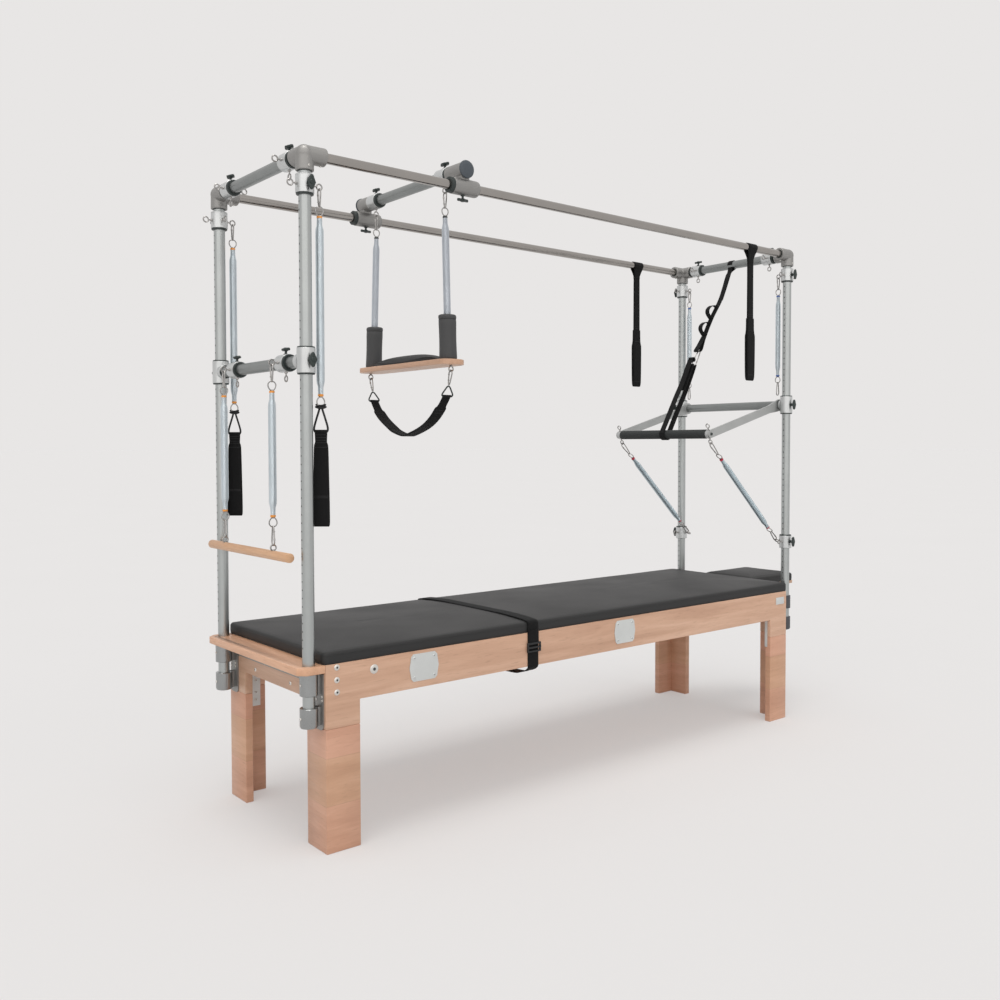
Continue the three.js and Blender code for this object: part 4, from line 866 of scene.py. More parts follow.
def mat_strap():
    """Webbing once round the bed, with a ladder buckle on the front rail."""
    x, t, width = -352.0, 2.3, 50.0
    out = BED_SIDE + 0.3 + t / 2
    edge = MAT_BASE + MATTRESS_EDGE
    top = MAT_BASE + MATTRESS_CROWN + 0.3 + t / 2
    half = [(out + 0.2, 467), (out, 500), (out, 540), (out, edge - 12), (out - 2.5, edge - 2),
            (out - 9, edge + 2.6), (out * 0.93, edge + 5.4), (out * 0.80, edge + 9.0),
            (out * 0.55, top), (out * 0.3, top), (0, top)]
    front = [(-y, z) for y, z in half]
    back = half[::-1][1:]
    turn = [(out - 0.6, 461.5), (out - 5, 455.5), (out - 18, 447), (out - 48, 437), (out - 96, 429)]
    under = turn + [(0, 424)] + [(-y, z) for y, z in turn[::-1]]
    ring = [V(x, y, z) for y, z in front + back + under]
    closed = np.array(ring[-2:] + ring + ring[:3])
    fine = smooth_path(closed, (len(closed) - 1) * 6 + 1)[12:12 + len(ring) * 6]
    s = Shell("web_z")
    ribbon(s, fine, width, t, X, True)
    face = -(BED_SIDE + 0.3 + t)
    tail = [V(x, face - 3.2, 548), V(x, face - 2.2, 560), V(x, face - 2.0, 580), V(x, face - 2.6, 594)]
    ribbon(s, smooth_path(tail, 16), width - 2, t, X)
    s.dress("mat_strap_webbing", "mat_strap", "webbing", angle=50)
    s = Shell("buckle")
    front_y = face - 1.0
    for z, high, deep in ((546, 7.0, 7.0), (532, 6.5, 8.6), (518, 6.0, 7.0)):
        low, high = V(x - 29, front_y - deep, z - high / 2), V(x + 31, front_y - 0.4, z + high / 2)
        block(s, low, high, "buckle", 1.6)
    for side in (-1, 1):
        low_x, high_x = sorted((x + side * 25.5, x + side * 31))
        block(s, V(low_x, front_y - 7.4, 515), V(high_x, front_y - 0.4, 550), "buckle", 1.8)
    s.dress("ladder_buckle", "mat_strap_buckle", "buckle", angle=40)


# Brackets and posts
def end_brackets():
    """A steel plate across each end of the bed, with a cup and a sleeve for each post."""
    outer, inner = POST_Y + 24, 280.0
    for name, sx in ENDS:
        s = Shell("cast")
        near, far = BED_HALF + 0.3, BED_HALF + 4.3
        cup, cup_top, sleeve, sleeve_top = BRACKET[name]
        outline = [(-outer, 556)]
        outline += arc((16 - outer, 398), 16, 180, 270, 8) + arc((-inner - 16, 398), 16, 270, 360, 8)
        outline += arc((9 - inner, 508), 9, 180, 90, 6)
        outline += [(-y, z) for y, z in arc((9 - inner, 508), 9, 90, 180, 6)]
        outline += arc((inner + 16, 398), 16, 180, 270, 8) + arc((outer - 16, 398), 16, 270, 360, 8)
        outline += [(outer, 556), (inner, 556), (inner, 533), (-inner, 533), (-inner, 556)]
        low, high = sorted((sx * near, sx * far))
        prism(s, outline, low, high, "x", "cast")
        for _, sy in SIDES:
            axis = V(sx * POST_X, sy * POST_Y, 0)
            bore = POST_R + 0.3
            # The right cups and sleeves take the near-black copy, which is painted shade.
            wide, look = (28, "steel") if sx < 0 else (25, "cast_shaded")
            length = cup_top - cup
            profile = [(0, 0), (wide - 10, 0), (wide - 2.5, 2.6), (wide, 8), (wide, length - 1.2),
                       (wide - 1.2, length), (bore, length), (bore, 8.2), (0, 8.2)]
            lathe(s, profile, axis + Z * cup, Z, 48, look)
            pipe(s, axis + Z * sleeve, axis + Z * sleeve_top, wide, bore, 48, look, 1.2)
            for z0, z1 in ((cup + 6, cup_top), (sleeve, min(sleeve_top, 556))):
                web_low, web_high = sorted((sx * (far - 1), sx * (POST_X - bore - 1.5)))
                block(s, V(web_low, sy * POST_Y - 12, z0), V(web_high, sy * POST_Y + 12, z1), "cast", 1.0)
            for z in ((cup + cup_top) / 2, (sleeve + sleeve_top) / 2):
                screw(s, V(sx * (POST_X + wide), sy * POST_Y, z), X * sx, 4.2)
            for dy in (-17, 17):
                for z in (470, 482):
                    screw(s, V(sx * far, sy * POST_Y + dy, z + 4), X * sx, 4.4)
        for y in (-190, -60, 60, 190):
            screw(s, V(sx * far, y, 525), X * sx, 4.6)
        s.dress(f"bracket_{name}", f"end_bracket_{name}", "cast", angle=32)


def index_holes(s, x, y, low, high):
    """The row of small index holes down a post's left face, each a flat dark disc of painted shade with its
    bright rim.
    """
    pitch = 25.4
    for z in np.arange(low, high, pitch):
        at = V(x - POST_R, y, z)
        lathe(s, [(0, -0.4), (2.9, -0.4), (2.9, 0.14), (0, 0.14)], at, -X, 12, "hole")
        lathe(s, [(2.7, -0.5), (3.5, -0.5), (3.3, 0.10), (2.8, 0.22)], at, -X, 12, "satin", ring=True)


def posts():
    """The four posts. The right ones carry the push bar's fittings and the collars of its springs."""
    for end, sx in ENDS:
        for side, sy in SIDES:
            s = Shell("satin")
            at = lambda z: V(sx * POST_X, sy * POST_Y, z)
            pipe(s, at(POST_FOOT[end]), at(RAIL_Z - 30), POST_R, POST_R - 2.5, 56, "satin", 0.6)
            index_holes(s, sx * POST_X, sy * POST_Y, 640, 2000)
            inward = V(0, -sy, 0)
            if sx > 0:
                t_sleeve(s, at(PUSH_Z), inward, POST_R - 1.5)
                eyes = [(inward, np.cross(PUSH_WAY, Y)), (X, Y), (-X, Y)]
                collar(s, at(LOWER_Z), Z, -inward, eyes, POST_R - 1.5, bush=1, thick_bush=5)
            s.dress(f"post_tube_{side}_{end}", f"post_{side}_{end}", "tube")


def t_sleeve(s, at, inward, bore):
    """A clamped T fitting on a post: a sleeve, a boss for the cross tube, bushes and a knob outside."""
    r, half = COLLAR_R, 42.0
    lathe(s, [(bore, 4 - half), (r - 0.8, 4 - half), (r, 4.8 - half), (r, half - 4.8), (r - 0.8, half - 4),
              (bore, half - 4)], at, Z, 48, "collar", ring=True)
    for sign in (-1, 1):
        lathe(s, [(bore, half - 4), (r - 1.4, half - 4), (r - 1.4, half - 1), (r - 2.6, half), (bore, half)],
              at, Z * sign, 48, "bush", ring=True)
    mouth = 32.0 if bore < POST_R else 46.0
    lathe(s, [(POST_R + 0.6, 20), (24, 20), (24, mouth - 4), (23.2, mouth - 3), (POST_R + 0.6, mouth - 3)],
          at, inward, 48, "collar", ring=True)
    lathe(s, [(POST_R + 0.6, mouth - 3), (22.6, mouth - 3), (22, mouth), (POST_R + 0.6, mouth)],
          at, inward, 48, "bush", ring=True)
    wing_knob(s, at - inward * r, -inward, Z)


def corner_fittings():
    """Three-way castings where a post, a rail and a crossbar meet, with their bushes."""
    for end, sx in ENDS:
        for side, sy in SIDES:
            middle = V(sx * POST_X, sy * POST_Y, RAIL_Z)
            s = Shell("cast")
            arms = [(-Z, 51, POST_R), (V(-sx, 0, 0), 66, RAIL_R), (V(0, -sy, 0), 60, POST_R)]
            for way, reach, radius in arms:
                bore = radius + 1.0
                lathe(s, [(0, 0), (27.4, 0), (28, reach - 3.0), (27.4, reach - 0.8), (26, reach),
                          (bore, reach), (bore, 31), (0, 31)], middle, way, 48, "cast")
            ball = [(28.4 * math.sin(a), -28.4 * math.cos(a)) for a in np.linspace(0, PI, 21)]
            ball[0], ball[-1] = (0, -28.4), (0, 28.4)
            lathe(s, ball, middle, Z, 48, "cast")
            obj = s.make(f"corner_{side}_{end}")
            cast_form(obj)
            dress(obj, f"corner_fitting_{side}_{end}")
            s = Shell("bush")
            for way, reach, radius in arms:
                lathe(s, [(radius + 0.3, 31), (radius + 1.6, 31), (radius + 1.6, reach - 0.6),
                          (radius + 3.0, reach - 0.4), (radius + 2.6, reach + 0.6),
                          (radius + 0.3, reach + 0.6)], middle, way, 48, "bush", ring=True)
            screw(s, middle + V(0, sy * 27.2, -38), Y * sy, 3.6)
            screw(s, middle + V(-sx * 52, 0, -27.4), -Z, 3.6)
            s.extra(f"corner_bushes_{side}_{end}", "table", "buckle")


def canopy():
    """The long rails, the end crossbars with their collars, and the collars at the tops of the posts."""
    for side, sy in SIDES:
        s = Shell("stainless")
        end = POST_X - 31.5
        low, high = V(-end, sy * POST_Y, RAIL_Z), V(end, sy * POST_Y, RAIL_Z)
        pipe(s, low, high, RAIL_R, RAIL_R - 2, 56, "stainless", 0.5)
        s.dress(f"rail_tube_{side}", f"top_rail_{side}", "rail_tube")
    for end, sx in ENDS:
        s = Shell("satin_y_shaded")
        x = sx * POST_X
        reach = POST_Y - 31.5
        # The crossbar tube is in the darker satin copy, whose tone is painted shade.
        pipe(s, V(x, -reach, RAIL_Z), V(x, reach, RAIL_Z), POST_R, POST_R - 2.5, 56, "satin_y_shaded", 0.5)
        for y in ((-217, 217) if sx < 0 else (-217, 212)):
            eyes = [(V(sx, 0, 0), Y), (V(-sx, 0, 0), Y), (-Z, X)]
            collar(s, V(x, y, RAIL_Z), Y, Z, eyes, POST_R - 1.5, bush=-1, thick_bush=9)
        s.dress(f"crossbar_tube_{end}", f"top_crossbar_{end}", "tube")
        for side, sy in SIDES:
            s = Shell("collar")
            eyes = [(V(sx, 0, 0), Y), (V(-sx, 0, 0), Y), (V(0, -sy, 0), X)]
            collar(s, V(x, sy * POST_Y, UPPER_Z), Z, V(0, sy, 0), eyes, POST_R + 0.6, bush=-1, thick_bush=5)
            s.dress(f"collar_{side}_{end}", f"upper_collar_{side}_{end}", "tube")


# Rolling trapeze
def trolley():
    """The rolling tube: clamps round the rails, end caps and two collars that carry the trapeze."""
    x, z = TROLLEY_X, TROLLEY_Z
    s = Shell("cast")
    end = 337.0
    # The rolling tube is in the darker satin copy, whose tone is painted shade.
    rod(s, V(x, -end, z), V(x, end, z), POST_R, 56, "satin_y_shaded")
    for (_, sy), reach in zip(SIDES, (72, 47)):
        y = sy * POST_Y
        bore = RAIL_R + 0.6
        lathe(s, [(bore, -46), (27.2, -46), (28, -45), (28, 50), (26.6, 56), (24, 58.6), (bore, 59)],
              V(x, y, RAIL_Z), X, 48, "cast", ring=True)
        lathe(s, [(bore, -59), (25.4, -59), (26.6, -57.6), (26.6, -46), (bore, -46)],
              V(x, y, RAIL_Z), X, 48, "bush", ring=True)
        length = end - POST_Y + reach
        lathe(s, [(POST_R, 0), (26, 0), (27.5, 1.6), (27.5, length - 1), (26.6, length), (POST_R, length)],
              V(x, sy * (POST_Y - reach), z), Y * sy, 48, "cast", ring=True)
        block(s, V(x - 17, y - 17, RAIL_Z + 20), V(x + 17, y + 17, z - 12), "cast", 2.0)
        wing_knob(s, V(x, y, RAIL_Z - COLLAR_R), -Z, X)
        lathe(s, [(0, 0), (29, 0), (30, 1), (30, 3), (28.6, 5.2), (23, 7.4), (12, 8.7), (0, 9)],
              V(x, sy * end, z), Y * sy, 48, "cap")
    for y in CLAMP_Y:
        collar(s, V(x, y, z), Y, Z, [(-Z, Y)], POST_R - 1.5, bush=-1, thick_bush=9)
    s.dress("trolley_assembly", "trolley", "tube")


def sleeve_wrap(name, node, x, y, low, high, slope):
    """A padded vinyl sleeve round a leaning spring, with a rolled rim at its top and a lengthwise seam."""
    s = Shell("sleeve")
    height, outer, inner = high - low, 31.5, 17.5
    profile = [(inner, 0), (outer - 4, 0), (outer - 1.4, 2), (outer - 0.4, 7)]
    for t in np.linspace(0.1, 0.9, 9):
        profile.append((outer - 0.4 - 1.3 * math.sin(PI * t), 7 + (height - 28) * t))
    profile += [(outer - 0.9, height - 19), (outer - 2.2, height - 16), (outer - 0.6, height - 13),
                (outer, height - 7), (outer - 1.2, height - 2), (outer - 4.6, height),
                (inner + 4, height - 1), (inner, height - 5)]
    lathe(s, profile, V(x, y, low), Z, 56, "sleeve", ring=True)
    seam = [V(x + (outer - 1.2) * math.cos(0.5), y + (outer - 1.2) * math.sin(0.5), z)
            for z in np.linspace(low + 8, high - 20, 16)]
    wire(s, seam, 0.9, False, 6, "welt")
    rim = outer - 1.8
    band = [V(x + rim * math.cos(a), y + rim * math.sin(a), high - 16) for a in turns(56)]
    wire(s, band, 0.9, True, 6, "welt")
    for verts in s.verts:
        verts[:, 1] += slope * (verts[:, 2] - low)
    s.dress(name, node, "upholstery", 0.8, angle=50)


def leaf_pad(name, node, x, front, back, base):
    """The seat's domed pad: rounded ends, a thin seamed edge and a crown that runs along it."""
    s = Shell("vinyl")
    count, rings, wide, crown = 96, 15, 49, 28.5
    middle, half = (front + back) / 2, (back - front) / 2
    turn = turns(count)
    along = np.sign(np.cos(turn)) * np.abs(np.cos(turn)) ** 0.62 * half
    across = np.sign(np.sin(turn)) * np.abs(np.sin(turn)) ** 0.62 * wide
    rows = [np.column_stack([x + across * 0.985, middle + along * 0.99, np.full(count, base)])]
    for share in np.concatenate([[1.0], 1 - np.linspace(0.02, 1, rings) ** 1.5]):
        place = np.column_stack([x + across * share, middle + along * share])
        lie = (place[:, 1] - middle) / half
        side = (place[:, 0] - x) / wide
        crest = crown * np.clip(1 - np.abs(lie) ** 3.0, 0, 1) ** 0.75
        crest *= np.clip(1 - np.abs(side) ** 2.4, 0, 1) ** 0.7
        rows.append(np.column_stack([place, base + 2.4 + crest]))
    rows = np.array(rows)
    used = len(rows) - 1
    flat = rows.reshape(-1, 3)
    top = list(range((used - 1) * count, used * count))
    faces = grid(used, count, capped=False) + fan(list(range(count)), len(flat), True) + [top]
    s.add(np.vstack([flat, rows[0].mean(0)]), faces)
    wire(s, rows[1] + V(0, 0, 0.4), 1.3, True, 6, "welt")
    s.dress(name, node, "upholstery", 0.8, angle=60)


def trapeze():
    x = TROLLEY_X
    top, low = BOARD_TOP, BOARD_TOP - BOARD_THICK
    foot = top + 12.3
    s = Shell("dark")
    for name, y, stud in zip(("front", "back"), CLAMP_Y, STUD_Y):
        high = hanger(s, x, y, TROLLEY_Z - EYE, X, "dark")
        coil_spring(f"trapeze_coil_{name}", f"trapeze_spring_{name}", V(x, stud, foot), V(x, y, high), 13,
                    "trapeze_springs", "trapeze_seat", key="coil_pale")
        slope = (y - stud) / (high - foot)
        sleeve_wrap(f"sleeve_{name}", f"trapeze_sleeve_{name}", x, stud, top + 0.3, top + 155.3, slope)
    s.extra("trapeze_hangers", "trapeze_springs", "coil")
    s = Shell("seat")
    r, half = 38, 50
    left, right, front, back = x - half + r, x + half - r, STUD_Y[0] - 49 + r, STUD_Y[1] + 49 - r
    corners = (((left, front), 180), ((right, front), 270), ((right, back), 0), ((left, back), 90))
    outline = np.array([point for at, start in corners for point in arc(at, r, start, start + 90, 12)])
    centre = outline.mean(0)
    rows = []
    edge = ((low, 2.6), (low + 0.8, 0.9), (low + 2.6, 0), (top - 2.6, 0), (top - 0.8, 0.9), (top, 2.6))
    for z, inset in edge:
        inner = outline - np.sign(outline - centre) * np.minimum(inset, np.abs(outline - centre))
        rows.append(np.column_stack([inner, np.full(len(inner), z)]))
    s.add(np.vstack(rows), grid(len(rows), len(outline)), "seat")
    for y in STUD_Y:
        rod(s, V(x, y, top - 1), V(x, y, top + 12), 6, 20, "screw", 0.8)
    for y in SLING_EYE_Y:
        eyebolt(s, V(x, y, low), -Z, Y, 0, EYE_R + 5)
    s.dress("trapeze_seat_board", "trapeze_board", "beech")
    leaf_pad("trapeze_pad_cushion", "trapeze_pad", x, STUD_Y[0] + 35, STUD_Y[1] - 34, top + 0.3)


def sling():
    """The webbing that hangs below the seat by two leaning links and two rounded rings."""
    x = TROLLEY_X
    eye_z = BOARD_TOP - BOARD_THICK - EYE_R - 5
    link_top = eye_z - EYE_R + HANG + 0.7
    apex_z = link_top - 48
    foot_z = apex_z - 42
    s = Shell("chrome")
    feet = []
    for eye_y in SLING_EYE_Y:
        inward = -math.copysign(1, eye_y)
        apex = V(x, eye_y + inward * 13, apex_z)
        foot = V(x, apex[1] + inward * 11, foot_z)
        feet.append(foot[1])
        carabiner(s, apex + V(0, 0, -1), V(x, eye_y, link_top), X)
        corners = [apex, foot - X * 28, foot + X * 28]
        ring = []
        for i in range(3):
            a, b, c = corners[i - 1], corners[i], corners[(i + 1) % 3]
            for t in np.linspace(0, 1, 9):
                p, q = b + (a - b) * 0.30, b + (c - b) * 0.30
                ring.append((1 - t) ** 2 * p + 2 * t * (1 - t) * b + t ** 2 * q)
        wire(s, ring, 2.7, True, 10, "black", unit(np.cross(unit(foot - apex), X)))
    s.extra("sling_fittings", "trapeze_sling", "webbing")
    s = Shell("web_y")
    front, back = feet
    curve = [(front, foot_z + 3), (-189, 1393), (-140, 1350), (-82, 1320), (-2, 1297), (38, 1293),
             (100, 1308), (132, 1323), (191, 1357), (235, 1395), (back, foot_z + 3)]
    shape = smooth_path([V(x, y, z) for y, z in curve], 401)
    run = np.concatenate([[0], np.cumsum(np.linalg.norm(np.diff(shape, axis=0), axis=1))])
    even = np.linspace(0, run[-1], 81)
    shape = np.column_stack([np.interp(even, run, shape[:, i]) for i in range(3)])
    t = np.linspace(0, 1, 81)
    wide = np.interp(t, [0, 0.085, 0.10, 0.90, 0.915, 1], [34, 36, 46, 46, 36, 34])
    thick = np.interp(t, [0, 0.09, 0.11, 0.89, 0.91, 1], [3.0, 3.2, 6.4, 6.4, 3.2, 3.0])
    ribbon(s, shape, wide, thick, X)
    for y, inward in ((front, 1), (back, -1)):
        turn = np.linspace(-PI * 0.15, PI * 1.15, 14)
        loop = [V(x, y - inward * 4.9 * math.cos(a), foot_z + 4.9 * math.sin(a)) for a in turn]
        ribbon(s, loop, 34, 2.2, X)
    for share in (0.12, 0.145, 0.855, 0.88):
        i = int(share * 80)
        stitches(s, shape[i], X, unit(np.cross(X, shape[i + 1] - shape[i])), 20, 3.3, 0.5)
    s.dress("sling_webbing", "trapeze_sling", "webbing", 0.7, angle=50)


# Sliding crossbar and roll-up bar
def mid_crossbar():
    x, z = -POST_X, MID_Z
    s = Shell("collar")
    # The cross tube is in the darker satin copy, whose tone is painted shade.
    rod(s, V(x, -270, z), V(x, 270, z), POST_R, 56, "satin_y_shaded")
    for _, sy in SIDES:
        t_sleeve(s, V(x, sy * POST_Y, z), V(0, -sy, 0), POST_R + 0.6)
    for y in MID_Y:
        collar(s, V(x, y, z), Y, Z, [(-X, Y), (X, Y), (-Z, X)], POST_R - 1.5, bush=-1, thick_bush=9)
    s.dress("mid_crossbar_assembly", "mid_crossbar", "tube")


def roll_up_bar():
    """The beech dowel that hangs by two springs from the sliding crossbar."""
    foot, ring_z, link_z = 1036, 1018.7, 1005
    s = Shell("orange")
    low = Shell("dowel")
    for name, y in zip(("front", "back"), MID_Y):
        high = hanger(s, ROLL_X, y, MID_Z, X, "orange")
        coil_spring(f"roll_coil_{name}", f"roll_spring_{name}", V(ROLL_X, y, foot), V(ROLL_X, y, high), 12.5,
                    "roll_springs", "roll_bar")
        spring_ring(low, V(ROLL_X, y, ring_z), Y, Z)
        tip_cap(low, V(ROLL_X, y, foot - 2), Z, "orange")
        carabiner(low, V(ROLL_X, y, link_z), V(ROLL_X, y, ROLL_Z + ROLL_R + 16), X)
        eyebolt(low, V(ROLL_X, y, ROLL_Z), Z, Y, ROLL_R - 0.6, ROLL_R + EYE_R)
    s.extra("roll_hangers", "roll_springs", "coil")
    end = [(0, 0), (12.6, 0), (13.9, 0.6), (14.5, 2.0)]
    length = 588.0
    profile = end + [(14.5, length * t) for t in (0.25, 0.5, 0.75)] + [(r, length - h) for r, h in end[::-1]]
    lathe(low, profile, V(ROLL_X, -296, ROLL_Z), Y, 48, "dowel")
    low.dress("roll_bar_dowel", "roll_bar", "beech")


# Leg springs and arm springs
def leg_springs():
    """The springs of the upper left collars, each with a rope hitch and a loop handle."""
    x, yaw = EYE - POST_X, math.radians(40)
    foot, ring_z, knot_z = 1408, 1390.7, 1373
    # Height, half gap and width down the handle, which is narrower at its stitched top
    table = [(1297, 4.4, 36), (1290, 3.4, 37), (1280, 2.8, 36), (1266, 2.8, 35), (1259, 3.6, 40),
             (1250, 4.8, 42), (1230, 5.6, 43), (1195, 6.2, 44), (1140, 6.2, 46), (1080, 6.0, 48),
             (1040, 5.2, 49), (1022, 4.2, 49.5), (1012, 2.4, 49), (1009.5, 0.01, 46)]
    out = V(math.cos(yaw), -math.sin(yaw), 0)
    normal = np.cross(out, Z)
    for name, sy in SIDES:
        y = sy * POST_Y
        s = Shell("orange")
        high = hanger(s, x, y, UPPER_Z, X, "orange")
        s.extra(f"leg_hanger_{name}", f"leg_spring_{name}", "coil")
        coil_spring(f"leg_coil_{name}", f"leg_spring_{name}", V(x, y, foot), V(x, y, high), 13,
                    f"leg_spring_{name}", f"leg_handle_{name}")
        s = Shell("web_z")
        centre = V(x, y, 0)
        spring_ring(s, V(x, y, ring_z), Y, Z)
        tip_cap(s, V(x, y, foot - 2), Z, "orange")
        # A cow hitch of rope on the ring, and its two strands down to the handle
        knot = V(x, y, knot_z)
        for lift, wide in ((5.2, 13.5), (-1.4, 15.0)):
            loop = [knot + Z * (lift + 1.6 * math.cos(2 * a)) + out * wide * math.cos(a)
                    + normal * 4.6 * math.sin(a) for a in turns(28)]
            wire(s, loop, 3.3, True, 8, "rope")
        for side in (-1, 1):
            fall = ((1342, 12), (1314, 20), (1302, 20.5), (1296, 16), (1294.5, 8))
            path = [knot + normal * 1.0 + out * side * 4, knot - Z * 10 + out * side * 5.5]
            path += [centre + Z * h + out * side * wide for h, wide in fall]
            wire(s, smooth_path(path, 26), 3.2, False, 10, "rope")
        gap_at = hand_loop(s, centre, out, normal, table, 110, 5.0)
        top = [centre + Z * (1297 + 4.4 * math.sin(a)) + normal * 4.4 * math.cos(a)
               for a in np.linspace(0, PI, 9)]
        ribbon(s, top, 36, 5.0, out)
        for h, wide in ((1288, 34), (1280, 34), (1271, 33), (1264, 33), (1250, 40), (1101, 45), (1096, 45)):
            stitches(s, centre + Z * h, out, normal, wide / 2, gap_at(h) + 2.65)
        s.dress(f"leg_loop_{name}", f"leg_handle_{name}", "webbing", 0.6, angle=50)


def arm_springs():
    """The springs that hang free from the upper right collars."""
    foot, ring_z, link_z, tip_z = 1577, 1562, 1549, 1489.5
    for name, sy in SIDES:
        y = sy * (POST_Y - EYE)
        s = Shell("blue")
        high = hanger(s, POST_X, y, UPPER_Z, Y, "blue")
        spring_ring(s, V(POST_X, y, ring_z), X, Z)
        tip_cap(s, V(POST_X, y, foot), Z, "blue")
        carabiner(s, V(POST_X, y, link_z), V(POST_X, y, tip_z), Y)
        body = body_of_node(f"arm_spring_{name}")
        s.extra(f"arm_hardware_{name}", body, "coil")
        coil_spring(f"arm_coil_{name}", f"arm_spring_{name}", V(POST_X, y, foot), V(POST_X, y, high), 12.0,
                    body, wire_r=1.2)


# Push-through bar
def push_bar():
    """The hinged frame: a cross tube, two flat arms, the lugs of the grip with their eyes, and the grip."""
    pivot = V(POST_X, 0, PUSH_Z)
    s = Shell("arm")
    # The cross tube is in the darker satin copy, whose tone is painted shade.
    rod(s, pivot - Y * 294, pivot + Y * 294, POST_R, 56, "satin_y_shaded", 0.6)
    for _, sy in SIDES:
        inner, outer = ARM_Y - ARM_THICK / 2, ARM_Y + ARM_THICK / 2
        length = np.linalg.norm(GRIP - pivot)
        hub, tip = 27, 17
        flare = ((0.10, 21.5), (0.16, 17.4), (0.22, tip))
        outline = []
        for t in np.linspace(PI / 2, 3 * PI / 2, 13):
            outline.append(pivot + ARM_WAY * hub * math.cos(t) - ARM_DOWN * hub * math.sin(t))
        for share, half in flare:
            outline.append(pivot + ARM_WAY * length * share + ARM_DOWN * half)
        for t in np.linspace(-PI / 2, PI / 2, 13):
            outline.append(GRIP + ARM_WAY * tip * math.cos(t) - ARM_DOWN * tip * math.sin(t))
        for share, half in flare[::-1]:
            outline.append(pivot + ARM_WAY * length * share - ARM_DOWN * half)
        pairs = [(p[0], p[2]) for p in outline]
        low, high = sorted((sy * inner, sy * outer))
        prism(s, pairs, low, high, "y", "arm")
        at = lambda reach: V(GRIP[0], sy * reach, GRIP[2])
        lug = [(0, 0), (16.5, 0), (18.6, 1.6), (19, 4), (19, 13), (18, 14), (0, 14)]
        lathe(s, lug, at(258), Y * sy, 40, "lug")
        rod(s, at(238), at(262), 7, 24, "screw")
        cap = [(0, 0), (17, 0), (17, 2), (15, 4), (0, 4)]
        lathe(s, cap, V(POST_X, sy * outer, PUSH_Z), Y * sy, 40, "arm")
        lathe(s, [(0, 0), (6.6, 0), (6.6, 2.6), (5.4, 4.2), (0, 4.6)], at(281), Y * sy, 6, "bush")
        for way in (ARM_DOWN, -ARM_DOWN):
            eyebolt(s, at(268), way, ARM_WAY, 18, 36)
    s.dress("push_bar_frame", "push_frame", "tube")
    s = Shell("foam")
    reach = 257.4
    length = reach * 2
    profile = [(9, 0), (17, 0), (19.2, 1.2), (20, 3.4), (20, length - 3.4), (19.2, length - 1.2),
               (17, length), (9, length)]
    lathe(s, profile, V(GRIP[0], -reach, GRIP[2]), Y, 48, "foam", ring=True)
    s.dress("push_grip_foam", "push_grip", "foam", angle=50)


def push_springs():
    """The springs from the lower right collars to the push bar, with a snap link at both ends."""
    low_link, low_ring, low_cap, high_cap, high_ring, high_link = 55, 69, 84, 553, 569.3, 583
    for name, sy in SIDES:
        y = sy * (POST_Y - EYE)
        low = V(POST_X, y, LOWER_Z) + PUSH_WAY * EYE_R
        high = V(LUG_HOOK[0], y, LUG_HOOK[2])
        way = unit(high - low)
        at = lambda distance: low + way * distance
        reach = np.linalg.norm(high - low) + 5.0
        normal = np.cross(way, Y)
        s = Shell("red")
        carabiner(s, at(low_link), at(-HANG), Y)
        spring_ring(s, at(low_ring), normal, way)
        tip_cap(s, at(low_cap), way, "red")
        s.extra(f"push_spring_hardware_{name}", f"push_spring_{name}", "coil")
        coil_spring(f"push_coil_{name}", f"push_spring_{name}", at(low_cap), at(high_cap - 1), 12.4,
                    f"push_hook_{name}", f"push_spring_{name}", 1.3, "coil_dark")
        s = Shell("red")
        spring_ring(s, at(high_ring), normal, -way)
        tip_cap(s, at(high_cap), -way, "red")
        carabiner(s, at(high_link), at(reach), Y)
        s.dress(f"push_hook_hardware_{name}", f"push_hook_{name}", "coil")


